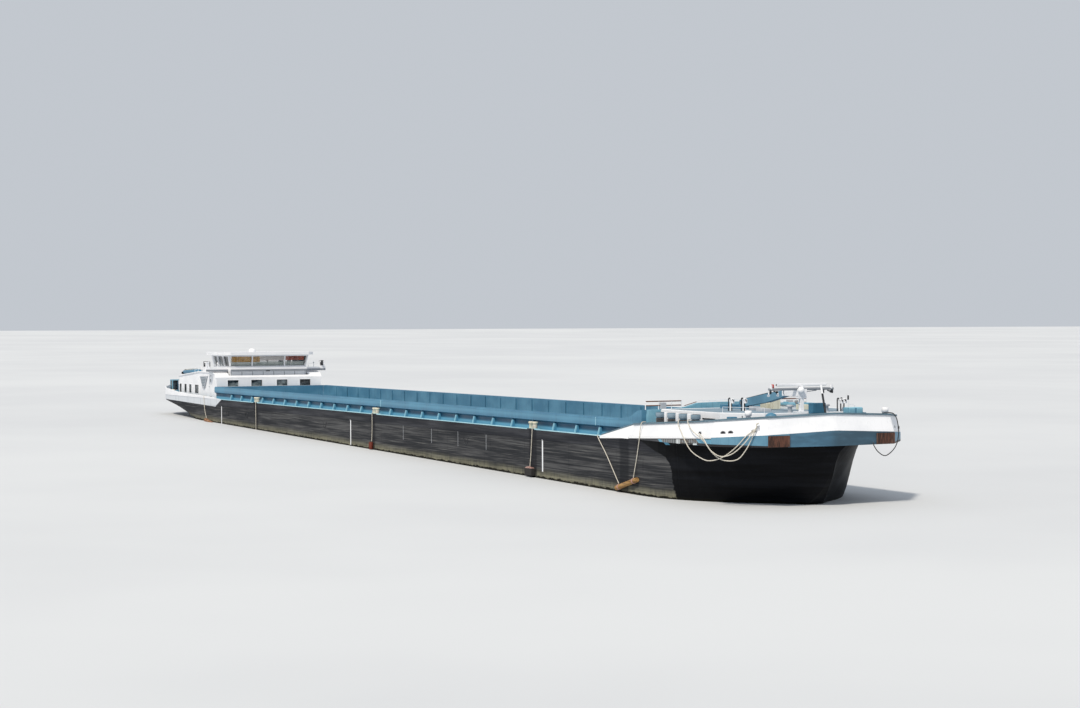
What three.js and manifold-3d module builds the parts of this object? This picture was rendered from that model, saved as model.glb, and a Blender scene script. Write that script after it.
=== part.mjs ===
// A self-propelled river barge with an open hold, as a 1:10 scale model.
// Sizes are the real ship's, in metres; the last group shrinks them to the model's millimetres.
// x runs forward from a datum near the after end of the hold, y to port of the centreline, z up from the keel.
import * as THREE from "three";
import { mergeVertices } from "three/addons/utils/BufferGeometryUtils.js";
import Module from "manifold-3d";

const wasm = await Module();
wasm.setup();

// Main dimensions
const MODEL_SCALE = 0.1;
const MM_PER_METRE = 1000;
const SEAM = 0.003;
const STERN = -21.5;
const BOW = 88.5;
const MIDSHIP = (STERN + BOW) / 2;
const HALF_BEAM = 11.45 / 2;
const DECK = 3.9;
const CLEAR = 0.05;

// Midbody and hold
const STRAKE_DEPTH = 0.58;
const STRAKE_PROUD = 0.03;
const SIDE = HALF_BEAM - STRAKE_PROUD;
const BODY_AFT = -3.6;
const BODY_FORE = 77.9;
const HOLD_HALF = 4.99;
const HOLD_FLOOR = 0.65;
const CEILING = [HOLD_FLOOR - 0.1, HOLD_FLOOR + 0.05];
const FORE_END_TOP = [
  // y, z: the camber of the hold's fore end
  [-(HOLD_HALF - SEAM), 5.48],
  [-3.4, 5.5],
  [-2.6, 5.6],
  [-1.9, 5.8],
  [-0.6, 5.83],
];
const HOLD_END = 0.3;
const BOLLARD_STATIONS = [10.15, 38.1, 64.45];

// Hatch coaming round the hold
const COAMING = { plate: 0.1, box: 0.27, boxLow: 0.55, top: 1.04, sweepTop: 1.58, foot: 0.3, fin: 0.06 };
const FINS = { first: 1.9, pitch: 2.946, count: 25 };

// Bow platform, its white bulwark and the trunk on it
const PLATFORM_TOP = [
  // x, height above the deck
  [BODY_FORE + SEAM, 0.17],
  [84.4, 0.39],
  [86.0, 0.46],
  [88.1, 0.62],
  [BOW, 0.78],
];
const BOW_OUTLINE = [
  // x, distance inboard of the full beam
  [85.8, 0],
  [86.25, 0.25],
  [88.1, 1.955],
  [BOW, 5.6],
];
const SHOULDER = { aft: [88.1, 3.77], fore: [88.228, 2.6] };
const BULWARK_TOP = [
  // x, height above the deck
  [73.6, 0.04],
  [77.2, 0.77],
  [78.7, 0.86],
  [84.4, 1.17],
  [88.0, 1.42],
  [BOW, 1.59],
];
const BULWARK = { lean: 0.3, thick: 0.1, railWide: 0.24, railHigh: 0.09 };
const TRUNK_TOP = DECK + 1.6;
const TRUNK_OUTLINE = [
  // x, half breadth
  [78.3, 4.45],
  [84.2, 4.25],
  [86.4, 2.9],
];
const HATCH = { x: [79.9, 81.7], y: [1.7, 3.4], high: 0.22, wall: 0.1, lid: 0.08, rim: 0.06 };

// Stern
const STERN_RAIL_TOP = [
  // x, height above the deck
  [0, 0.03],
  [-3, 0.12],
  [-10, 0.22],
  [-15, 0.36],
  [-18, 0.6],
  [STERN, 0.95],
];
const STERN_OUTLINE = [
  // x, half breadth of the bulwark's outer face
  [0, HALF_BEAM],
  [-3, HALF_BEAM],
  [-10, HALF_BEAM],
  [-15, HALF_BEAM],
  [-18, HALF_BEAM],
  [-19.3, 5.45],
  [-20.4, 4.8],
  [-21.2, 3.8],
  [STERN, 2.9],
];
const SHAFT_Z = 1.0;
const PROPELLER = { x: -15.7, radius: 0.82, blades: 4, hub: 0.17, hubHalf: 0.36 };
const NOZZLE = { inner: 0.87, outer: 0.97, fore: -15.2, aft: -16.2 };
const RUDDER = { x: -17, y: 0.55, fore: 0.4, aft: 1.0, low: 0.15, top: 2.0, thick: 0.16, stock: 0.08 };
const WELL = { x: [-9.15, -4.0], half: 3.3, floor: 0.6 };
const ENGINE_ROOM = { x: [-13.2, -9.45], half: 2.6, floor: 1.5 };

// Deckhouse and the wheelhouse that sinks into it
const HOUSE = { aft: -16.2, fore: -3.72, half: 4.92, wall: 0.14, roof: 0.12 };
const HOUSE_TOP = [
  // x, z
  [HOUSE.aft, 5.78],
  [-9.4, 6.24],
  [-4.9, 6.24],
  [-4.1, 6.1],
  [HOUSE.fore, 5.75],
];
const TENDER = {
  y: -4.1,
  rows: [
    // x, half breadth, keel z, rim z
    [-15.75, 0.6, 5.7, 6.19],
    [-14.2, 0.72, 5.8, 6.25],
    [-12.9, 0.6, 5.9, 6.26],
    [-12.2, 0.4, 5.95, 6.23],
    [-11.9, 0.25, 6.0, 6.19],
  ],
};
const HOUSE_WINDOWS = { centres: [-15.65, -13.95, -12.3, -10.15], wide: [0.6, 0.75, 0.75, 1.15], z: [4.2, 4.98] };
const HOUSE_DOOR = { x: [-5.98, -5.38], z: [4.06, 5.85], thick: 0.06 };
const WHEELHOUSE = {
  aft: -9.1, fore: -4.05, half: 3.6, floor: 5.45, sill: 6.75, head: 7.75, lean: 0.2, wall: 0.12,
};
const WELL_MOUTH = { x: [-9.3, -3.9], half: 3.75 };
const ROOF = { overhang: 0.4, thick: 0.26 };
const WING = { x: [-5.7, -4.55], half: 5.66, z: [6.28, 6.6] };
const SLIDING_DOOR = { x: [-8.65, -7.8], z: [5.62, 7.4], thick: 0.05, gap: 0.1 };
const COLUMN = { x: [-6.95, -6.05], half: 0.45, guideGap: 0.03, guideWall: 0.14, guideTop: 4.95 };

// Folding foremast with its level head
const MAST = { foot: [79.7, 5.83], head: [83.95, 6.46], wide: 0.34, high: 0.4, tip: 0.2, pin: 0.06 };
const CHEEK = { gap: 0.05, thick: 0.06 };
const YARD = { x: 85.24, z: 6.7, half: 1.9, radius: 0.06 };
const SCANNER = { half: 1.5, thick: 0.14, deep: 0.18, low: 6.86 };

const FINISHES = {
  // colour, roughness, metalness
  black: [0x1b1c21, 0.6, 0.1],
  hull: [0x4a4a50, 0.75, 0.1],
  steelFloor: [0x6c5a4c, 0.8, 0.2],
  teal: [0x5b93ae, 0.45, 0.1],
  deckBlue: [0x8fc3d6, 0.6, 0.0],
  white: [0xf4f5f8, 0.35, 0.0],
  bowBlue: [0x5f8ba3, 0.45, 0.1],
  rail: [0x5e7582, 0.5, 0.1],
  wood: [0x6b3a2c, 0.85, 0.0],
  log: [0x9a7a4a, 0.9, 0.0],
  bronze: [0xa8854a, 0.35, 0.9],
  iron: [0x2e3034, 0.6, 0.6],
  glass: [0x27333a, 0.08, 0.0],
  rubber: [0x22201f, 0.9, 0.0],
  rope: [0xd9d5cc, 0.9, 0.0],
  darkRope: [0x24262b, 0.9, 0.0],
};

const ship = new THREE.Group();

// Closed solids from three.js geometry, and back again
function solidOf(geometry) {
  const plain = geometry.index ? geometry.toNonIndexed() : geometry.clone();
  plain.deleteAttribute("normal");
  plain.deleteAttribute("uv");
  const merged = mergeVertices(plain, 1e-5);
  const made = new wasm.Manifold(
    new wasm.Mesh({
      numProp: 3,
      vertProperties: merged.attributes.position.array,
      triVerts: new Uint32Array(merged.index.array),
    }),
  );
  return made;
}

function add(name, solid, finish) {
  const surface = solid.getMesh();
  const geometry = new THREE.BufferGeometry();
  geometry.setAttribute("position", new THREE.BufferAttribute(new Float32Array(surface.vertProperties), 3));
  geometry.setIndex(new THREE.BufferAttribute(new Uint32Array(surface.triVerts), 1));
  geometry.computeVertexNormals();
  const [color, roughness, metalness] = FINISHES[finish];
  const mesh = new THREE.Mesh(geometry, new THREE.MeshStandardMaterial({ color, roughness, metalness }));
  mesh.name = name;
  ship.add(mesh);
  return mesh;
}

const join = (...solids) => solids.reduce((all, next) => all.add(next));
const cut = (solid, ...tools) => tools.reduce((left, tool) => left.subtract(tool), solid);
const mirror = (solid) => solid.mirror([0, 1, 0]);
const span = (low, high) => ({ size: high - low, middle: (low + high) / 2 });

function box(x, y, z) {
  const [sx, sy, sz] = [span(...x), span(...y), span(...z)];
  const geometry = new THREE.BoxGeometry(sx.size, sy.size, sz.size);
  return solidOf(geometry.translate(sx.middle, sy.middle, sz.middle));
}

// A flat outline pushed along an axis. The outline's two columns are the other two axes, in x, y, z order.
function prism(axis, outline, low, high) {
  const points = outline.map(([a, b]) => (axis === "y" ? new THREE.Vector2(b, a) : new THREE.Vector2(a, b)));
  const geometry = new THREE.ExtrudeGeometry(new THREE.Shape(points), { depth: high - low, bevelEnabled: false });
  const [x, y, z] = [new THREE.Vector3(1, 0, 0), new THREE.Vector3(0, 1, 0), new THREE.Vector3(0, 0, 1)];
  const turn = { x: [y, z, x], y: [z, x, y], z: [x, y, z] }[axis];
  geometry.translate(0, 0, low).applyMatrix4(new THREE.Matrix4().makeBasis(...turn));
  return solidOf(geometry);
}

function rod(from, to, radius, sides = 12, endRadius = radius) {
  const [a, b] = [new THREE.Vector3(...from), new THREE.Vector3(...to)];
  const along = b.clone().sub(a);
  const geometry = new THREE.CylinderGeometry(endRadius, radius, along.length(), sides);
  const turn = new THREE.Quaternion().setFromUnitVectors(new THREE.Vector3(0, 1, 0), along.normalize());
  const middle = a.add(b).multiplyScalar(0.5);
  return solidOf(geometry.applyQuaternion(turn).translate(middle.x, middle.y, middle.z));
}

const ball = (centre, radius) => solidOf(new THREE.SphereGeometry(radius, 14, 10).translate(...centre));

// A skin over rows of corners, each row a convex loop, closed with a flat cap at each end
function loft(rows) {
  const count = rows[0].length;
  const index = [];
  const last = (rows.length - 1) * count;
  for (let r = 0; r < rows.length - 1; r++) {
    for (let c = 0; c < count; c++) {
      const [a, b] = [r * count + c, r * count + ((c + 1) % count)];
      index.push(a, b, b + count, a, b + count, a + count);
    }
  }
  for (let c = 1; c < count - 1; c++) {
    index.push(0, c + 1, c, last, last + c, last + c + 1);
  }
  const geometry = new THREE.BufferGeometry();
  geometry.setAttribute("position", new THREE.BufferAttribute(new Float32Array(rows.flat(2)), 3));
  geometry.setIndex(index);
  return solidOf(geometry);
}

// The value at x on a line through a table's first two columns
function along(table, x) {
  const rows = [...table].sort((a, b) => a[0] - b[0]);
  const next = Math.max(1, rows.findIndex((row) => row[0] >= x));
  const [[x0, v0], [x1, v1]] = [rows[next - 1], rows[next]];
  return v0 + ((v1 - v0) * (x - x0)) / (x1 - x0);
}

// A wall that stands on an outline and leans inward: rows of x, y, foot z, top z
function wall(rows, thick, lean) {
  const loops = rows.map(([x, y, low, high], i) => {
    const [before, after] = [rows[Math.max(0, i - 1)], rows[Math.min(rows.length - 1, i + 1)]];
    const run = new THREE.Vector2(after[0] - before[0], after[1] - before[1]).normalize();
    const inward = [-run.y, run.x];
    const at = (depth, z) => [x + inward[0] * depth, y + inward[1] * depth, z];
    const tilt = lean * Math.min(1, high - low);
    return [at(0, low), at(thick, low), at(tilt + thick, high), at(tilt, high)];
  });
  return loft(loops);
}

// Rows put between rows, on smooth curves through their columns
function fair(rows, steps) {
  const last = rows.length - 1;
  const at = (i, k) => rows[Math.min(last, Math.max(0, i))][k];
  return rows.flatMap((row, i) =>
    Array.from({ length: i < last ? steps : 1 }, (_, step) => {
      const t = step / steps;
      return row.map((p1, k) => {
        const [p0, p2, p3] = [at(i - 1, k), at(i + 1, k), at(i + 2, k)];
        const [lean, bend] = [2 * p0 - 5 * p1 + 4 * p2 - p3, 3 * p1 - p0 - 3 * p2 + p3];
        return p1 + ((p2 - p0) * t + lean * t * t + bend * t * t * t) / 2;
      });
    }),
  );
}

// Hull: afterbody, forebody and the midbody round the hold
function hullRow([x, keel, bottom, bilge, bilgeZ, chine, chineZ, deck], steps = 1) {
  const half = [
    [bottom, keel],
    [bilge, bilgeZ],
    [chine, chineZ],
    [deck, DECK],
  ];
  const side = fair(half, steps).map(([y, z]) => [Math.min(y, SIDE), Math.max(z, 0)]);
  const port = side.map(([y, z]) => [x, y, z]);
  const starboard = side.map(([y, z]) => [x, -y, z]).reverse();
  return [...port, ...starboard];
}

const AFTERBODY = [
  // x, keel z, bottom half, bilge half, bilge z, chine half, chine z, deck half
  [STERN, 3.2, 1.3, 1.9, 3.3, 2.87, 3.49, 2.87],
  [-21.2, 3.13, 1.5, 2.3, 3.24, 3.77, 3.48, 3.77],
  [-20.4, 3.02, 1.7, 2.5, 3.15, 4.77, 3.47, 4.77],
  [-19.3, 2.84, 1.9, 2.7, 3.02, 5.42, 3.46, 5.42],
  [-18, 2.62, 2.0, 2.8, 2.84, SIDE, 3.4, SIDE],
  [-14.8, 1.95, 2.1, 2.8, 2.2, SIDE, 3.05, SIDE],
  [-13.0, 1.1, 2.3, 2.9, 1.5, SIDE, 2.83, SIDE],
  [-11.3, 0.35, 2.6, 3.1, 0.75, SIDE, 2.6, SIDE],
  [-9.0, 0, 3.2, 3.7, 0.35, SIDE, 2.3, SIDE],
  [-6.3, 0, 4.1, 4.6, 0.35, SIDE, 1.87, SIDE],
  [-5.0, 0, 4.7, 5.1, 0.3, SIDE, 1.2, SIDE],
  [BODY_AFT, 0, 5.25, 5.56, 0.13, SIDE, 0.45, SIDE],
];
const FOREBODY = [
  [BODY_FORE + SEAM, 0, 5.25, 5.56, 0.13, SIDE, 0.45, SIDE],
  [80.0, 0, 4.9, 5.2, 0.2, 5.5, 0.8, 5.6],
  [82.0, 0.03, 3.9, 4.3, 0.3, 4.8, 1.2, 5.15],
  [84.0, 0.15, 2.4, 2.9, 0.5, 3.6, 1.5, 4.3],
  [85.7, 0.5, 0.9, 1.3, 0.9, 2.2, 1.9, 3.3],
  [87.0, 1.2, 0.3, 0.55, 1.6, 1.3, 2.4, 2.35],
  [87.9, 2.2, 0.12, 0.25, 2.5, 0.7, 3.1, 1.4],
  [88.3, 3.1, 0.1, 0.2, 3.3, 0.35, 3.6, 0.7],
];

function bollardPair(x, y, foot) {
  const posts = [-0.28, 0.28].map((shift) =>
    join(
      rod([x + shift, y, foot], [x + shift, y, foot + 0.42], 0.12),
      rod([x + shift, y, foot + 0.36], [x + shift, y, foot + 0.46], 0.16),
    ),
  );
  return join(box([x - 0.5, x + 0.5], [y - 0.17, y + 0.17], [foot - 0.02, foot + 0.06]), ...posts);
}

function buildAfterbody() {
  const skegLow = [
    [-14.75, SHAFT_Z - 0.3],
    [-13.4, 0],
    [-8.6, 0],
    [-8.6, 0.3],
    [-11.3, 0.6],
    [-14.75, 2.1],
  ];
  const skeg = prism("y", skegLow, -0.2, 0.2);
  const boss = rod([-14, 0, SHAFT_Z], [PROPELLER.x + PROPELLER.hubHalf + SEAM, 0, SHAFT_Z], 0.26, 16);
  const well = box(WELL.x, [-WELL.half, WELL.half], [WELL.floor, DECK + 1]);
  const engineRoom = box(ENGINE_ROOM.x, [-ENGINE_ROOM.half, ENGINE_ROOM.half], [ENGINE_ROOM.floor, DECK + 1]);
  const passage = box([ENGINE_ROOM.x[1] - 0.1, WELL.x[0] + 0.1], [-0.6, 0.6], [ENGINE_ROOM.floor, DECK + 1]);
  const afterbody = join(cut(loft(AFTERBODY.map((row) => hullRow(row))), well, engineRoom, passage), skeg, boss);
  const length = (from, to) => afterbody.intersect(box([from, to], [-HALF_BEAM, HALF_BEAM], [-1, DECK + 1]));
  const [runEnd, engineEnd] = [ENGINE_ROOM.x[0] - 0.15, (ENGINE_ROOM.x[1] + WELL.x[0]) / 2];
  add("hull_aft", length(STERN - 1, runEnd - SEAM), "hull");
  add("hull_engine_room", length(runEnd, engineEnd - SEAM), "hull");
  add("hull_lift_well", length(engineEnd, BODY_AFT + 1), "hull");
}

function buildForebody() {
  add("hull_fore", loft(fair(FOREBODY, 3).map((row) => hullRow(row, 4))), "black");
}

function buildMidbody() {
  const [aft, fore] = [BODY_AFT + SEAM, BODY_FORE];
  const floor = [
    [-5.25, 0],
    [5.25, 0],
    [5.56, 0.13],
    [SIDE, 0.45],
    [SIDE, HOLD_FLOOR],
    [-SIDE, HOLD_FLOOR],
    [-SIDE, 0.45],
    [-5.56, 0.13],
  ];
  const ceiling = box([aft + HOLD_END + 0.03, fore - HOLD_END - 0.03], [-HOLD_HALF + 0.02, HOLD_HALF - 0.02], CEILING);
  add("double_bottom", join(prism("x", floor, aft, fore), ceiling), "steelFloor");
  const tank = [
    [HOLD_HALF, HOLD_FLOOR + SEAM],
    [SIDE, HOLD_FLOOR + SEAM],
    [SIDE, DECK - STRAKE_DEPTH],
    [HALF_BEAM, DECK - STRAKE_DEPTH + STRAKE_PROUD],
    [HALF_BEAM, DECK],
    [HOLD_HALF, DECK],
  ];
  const bollards = BOLLARD_STATIONS.map((x) => bollardPair(x, HALF_BEAM - 0.17, DECK));
  const port = join(prism("x", tank, aft, fore), ...bollards);
  add("wing_tank_port", port, "hull");
  add("wing_tank_starboard", mirror(port), "hull");
}

// Coaming: a plate on the tank's inner edge, a box rail along its top and triangular fins outside
function buildCoamings() {
  const [aft, fore] = [BODY_AFT + HOLD_END + 2 * SEAM, BODY_FORE - HOLD_END - 2 * SEAM];
  const inner = HOLD_HALF;
  const plateOut = inner + COAMING.plate;
  const boxOut = inner + COAMING.box;
  const section = [
    [inner, DECK + SEAM],
    [plateOut, DECK + SEAM],
    [plateOut, DECK + COAMING.boxLow - 0.1],
    [boxOut, DECK + COAMING.boxLow],
    [boxOut, DECK + COAMING.top - 0.08],
    [boxOut - 0.06, DECK + COAMING.top],
    [inner, DECK + COAMING.top],
  ];
  const fin = [
    [plateOut - 0.02, DECK + SEAM],
    [plateOut + COAMING.foot, DECK + SEAM],
    [plateOut + COAMING.foot, DECK + 0.08],
    [boxOut, DECK + COAMING.boxLow + 0.02],
    [plateOut - 0.02, DECK + COAMING.boxLow + 0.02],
  ];
  const sweep = [
    [74.9, DECK + 0.8],
    [fore, DECK + 0.8],
    [fore, DECK + COAMING.sweepTop],
    [77.1, DECK + COAMING.sweepTop - 0.06],
    [76.3, DECK + COAMING.top + 0.14],
    [74.9, DECK + COAMING.top - 0.01],
  ];
  const fins = Array.from({ length: FINS.count }, (_, i) => {
    const x = FINS.first + i * FINS.pitch;
    return prism("x", fin, x - COAMING.fin / 2, x + COAMING.fin / 2);
  });
  const port = join(prism("x", section, aft, fore), prism("y", sweep, inner, boxOut), ...fins);
  add("coaming_port", port, "teal");
  add("coaming_starboard", mirror(port), "teal");
}

// The hold's two ends, each a bulkhead that goes on up as the coaming
function buildHoldEnds() {
  const low = HOLD_FLOOR + SEAM;
  const inside = [-(HOLD_HALF - SEAM), HOLD_HALF - SEAM];
  const aft = box([BODY_AFT + SEAM, BODY_AFT + HOLD_END], inside, [low, DECK + COAMING.top]);
  const camber = [...FORE_END_TOP, ...FORE_END_TOP.map(([y, z]) => [-y, z]).reverse()];
  const outline = [[inside[0], low], ...camber, [inside[1], low]];
  const fore = prism("x", outline, BODY_FORE - HOLD_END, BODY_FORE - SEAM);
  add("hold_end_aft", aft, "teal");
  add("hold_end_fore", fore, "teal");
}

// Bow: platform over the forebody, bulwark, cap rail and fender boards
const platformRise = (x) => along(PLATFORM_TOP, x);
const bowHalf = (x) => (x <= BOW_OUTLINE[0][0] ? HALF_BEAM : HALF_BEAM - along(BOW_OUTLINE, x));

function platformSlope(lift) {
  const top = PLATFORM_TOP.map(([x, rise]) => [x, DECK + rise + lift]);
  return [[BODY_FORE - 1, DECK - 1], [BODY_FORE - 1, top[0][1]], ...top, [BOW + 1, top.at(-1)[1]], [BOW + 1, DECK - 1]];
}

const belowPlatform = (lift) => prism("y", platformSlope(lift), -HALF_BEAM - 1, HALF_BEAM + 1);

// Four drums on a bed along each side of the platform
function bowBollards() {
  const y = 4.92;
  const foot = DECK + 0.1;
  const stations = [79.1, 80.37, 81.63, 82.9];
  const posts = stations.map((x) =>
    join(rod([x, y, foot], [x, y, DECK + 1.46], 0.2, 14), rod([x, y, DECK + 1.38], [x, y, DECK + 1.5], 0.25, 14)),
  );
  const port = join(box([78.7, 83.3], [y - 0.24, y + 0.2], [foot, DECK + 0.5]), ...posts);
  return [port, mirror(port)];
}

function buildPlatform() {
  const port = BOW_OUTLINE.map(([x, inboard]) => [x, HALF_BEAM - inboard]);
  const outline = [
    [BODY_FORE + SEAM, HALF_BEAM],
    ...port,
    ...port.map(([x, y]) => [x, -y]).reverse(),
    [BODY_FORE + SEAM, -HALF_BEAM],
  ];
  const slab = prism("z", outline, DECK + SEAM, DECK + 1).intersect(belowPlatform(0));
  const posts = [-1, 1].map((side) =>
    join(
      rod([86.8, side * 4.12, DECK + 0.3], [86.8, side * 4.12, DECK + 1.7], 0.12),
      rod([86.8, side * 4.12, DECK + 1.6], [86.8, side * 4.12, DECK + 1.8], 0.17),
    ),
  );
  add("bow_platform", join(slab, ...posts, ...bowBollards()), "bowBlue");
}

// Corners of the bulwark's outline from the starboard wedge round the tip to the port one
function bulwarkCorners(startX) {
  const marks = [73.6, 77.2, BODY_FORE, 81, 84.4, ...BOW_OUTLINE.map((row) => row[0])];
  const port = marks.filter((x) => x >= startX).map((x) => [x, bowHalf(x)]);
  return [...port.map(([x, y]) => [x, -y]), ...port.reverse()];
}

// A peg through the bulwark's face near the starboard shoulder, where mooring ropes hang
const PEG = { at: [87.74, -4.11], z: 5.02, radius: 0.04, out: [0.678, -0.735], back: [-0.735, -0.678] };
const pegPoint = (reach, beside, z) => [0, 1].map((i) => PEG.at[i] + PEG.out[i] * reach + PEG.back[i] * beside).concat(z);

function buildBulwark() {
  const foot = (x) => DECK + SEAM + (x < BODY_FORE ? 0 : platformRise(Math.min(x, BOW)));
  const head = (x) => DECK + along(BULWARK_TOP, x);
  const stand = bulwarkCorners(0).map(([x, y]) => [x, y, foot(x), Math.max(head(x), foot(x) + 0.04)]);
  const bulwark = cut(wall(stand, BULWARK.thick, BULWARK.lean), belowPlatform(SEAM));
  const peg = rod(pegPoint(-0.22, 0, PEG.z), pegPoint(0.12, 0, PEG.z), PEG.radius);
  add("bow_bulwark", join(bulwark, peg), "white");
  const railRow = ([x, y]) => {
    const height = head(x) - foot(x);
    const inset = BULWARK.lean * Math.min(1, height) + (BULWARK.thick - BULWARK.railWide) / 2;
    return [x, y, head(x) + SEAM, head(x) + BULWARK.railHigh, inset];
  };
  const rail = bulwarkCorners(77).map(railRow);
  add("bow_cap_rail", cut(railWall(rail), bulwark.translate([0, 0, SEAM])), "rail");
}

// The cap rail: rows of x, y, low z, high z and the distance inside the outline
function railWall(rows) {
  const loops = rows.map(([x, y, low, high, inset], i) => {
    const [before, after] = [rows[Math.max(0, i - 1)], rows[Math.min(rows.length - 1, i + 1)]];
    const run = new THREE.Vector2(after[0] - before[0], after[1] - before[1]).normalize();
    const at = (depth, z) => [x - run.y * depth, y + run.x * depth, z];
    const wide = inset + BULWARK.railWide;
    return [at(inset, low), at(wide, low), at(wide, high), at(inset, high)];
  });
  return loft(loops);
}

function buildFenderBoards() {
  const [a, b] = [SHOULDER.aft, SHOULDER.fore].map(([x, y]) => [x, -y]);
  const run = new THREE.Vector2(b[0] - a[0], b[1] - a[1]).normalize();
  const out = (point, depth) => [point[0] + run.y * depth, point[1] - run.x * depth];
  const outline = [out(a, SEAM), out(b, SEAM), out(b, 0.07), out(a, 0.07)];
  const board = prism("z", outline, DECK + 0.02, DECK + 0.58);
  add("fender_board_starboard", board, "wood");
  add("fender_board_port", mirror(board), "wood");
}

// The post the lowered foremast rests on
function crutch() {
  const top = MAST.head[1] - 0.14 - SEAM;
  const post = box([YARD.x - 0.09, YARD.x + 0.11], [-0.1, 0.1], [TRUNK_TOP - 0.05, top]);
  const shoe = box([YARD.x - 0.1, YARD.x + 0.12], [-0.26, 0.26], [top - 0.1, top]);
  const plate = box([YARD.x - 0.3, YARD.x + 0.3], [-0.3, 0.3], [TRUNK_TOP - 0.05, TRUNK_TOP + 0.05]);
  return join(post, shoe, plate);
}

// Trunk on the bow platform, with the fore hatch and its lid
function buildTrunk() {
  const port = TRUNK_OUTLINE;
  const outline = [...port, ...port.map(([x, y]) => [x, -y]).reverse()];
  const block = cut(prism("z", outline, DECK, TRUNK_TOP), belowPlatform(SEAM));
  const { x, y, high, wall: thick } = HATCH;
  const coaming = box(x, y, [TRUNK_TOP - 0.1, TRUNK_TOP + high]);
  const mouth = box([x[0] + thick, x[1] - thick], [y[0] + thick, y[1] - thick], [DECK + 0.6, TRUNK_TOP + 1]);
  const vents = [
    // x, y
    [82.2, -2.4],
    [82.5, -1.8],
    [85.2, 2.6],
    [85.5, 2.2],
  ].map(([vx, vy]) =>
    join(
      rod([vx, vy, TRUNK_TOP - 0.05], [vx, vy, TRUNK_TOP + 0.66], 0.07),
      rod([vx - 0.05, vy, TRUNK_TOP + 0.6], [vx + 0.22, vy, TRUNK_TOP + 0.6], 0.07),
      rod([vx + 0.2, vy, TRUNK_TOP + 0.64], [vx + 0.2, vy, TRUNK_TOP + 0.42], 0.09),
    ),
  );
  add("fore_trunk", join(cut(join(block, coaming), mouth), ...vents, crutch()), "white");
  const lidLow = TRUNK_TOP + high + SEAM;
  const lid = box(
    [x[0] - HATCH.rim, x[1] + HATCH.rim],
    [y[0] - HATCH.rim, y[1] + HATCH.rim],
    [lidLow, lidLow + HATCH.lid],
  );
  const grip = box([80.6, 81.0], [y[0] + 0.12, y[0] + 0.2], [lidLow, lidLow + 0.16]);
  add("fore_hatch_lid", join(lid, grip), "deckBlue");
}

// Anchor winch on the port side of the bow, with its motor on the centreline
const WINCH = { x: 87.35, y: 1.74, half: 0.62, drum: 0.26, z: 5.1 };

function buildWinch() {
  const { x, y, half, z } = WINCH;
  const cheek = (side) => box([x - 0.32, x + 0.32], [side - 0.05, side + 0.05], [DECK + 0.4, z + 0.42]);
  const bearing = rod([x, y - half, z], [x, y + half, z], 0.07 + SEAM, 16);
  const bed = box([x - 0.4, x + 0.4], [y - half, y + half], [DECK + 0.4, DECK + 0.85]);
  const frame = join(bed, cheek(y - half + 0.05), cheek(y + half - 0.05), cheek(y));
  const motor = box([86.55, 86.93], [-0.38, 0.38], [DECK + 0.4, DECK + 2.1]);
  const motorBed = box([86.55, 87.4], [-0.38, y - half + 0.02], [DECK + 0.4, DECK + 0.72]);
  const clear = rod([x, y - half + 0.1 + CLEAR, z], [x, y - CLEAR - CLEAR, z], WINCH.drum + CLEAR, 20);
  const clearPort = rod([x, y + CLEAR + CLEAR, z], [x, y + half - 0.1 - CLEAR, z], WINCH.drum + CLEAR, 20);
  const top = box([x - 0.25, x + 0.25], [y - 0.4, y + 0.46], [z + 0.34, z + 0.66]);
  const winch = cut(join(frame, top, motorBed, motor), belowPlatform(SEAM), bearing, clear, clearPort);
  add("anchor_winch", winch, "teal");
  const axle = rod([x, y - half + 0.01, z], [x, y + half - 0.01, z], 0.07, 16);
  const drums = [y - 0.3, y + 0.3].map((side) =>
    join(
      rod([x, side - 0.1, z], [x, side + 0.1, z], 0.16, 16),
      rod([x, side - 0.13, z], [x, side - 0.1, z], WINCH.drum - 0.01, 16),
      rod([x, side + 0.1, z], [x, side + 0.13, z], WINCH.drum - 0.01, 16),
    ),
  );
  add("winch_drum", join(axle, ...drums), "iron");
}

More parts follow.
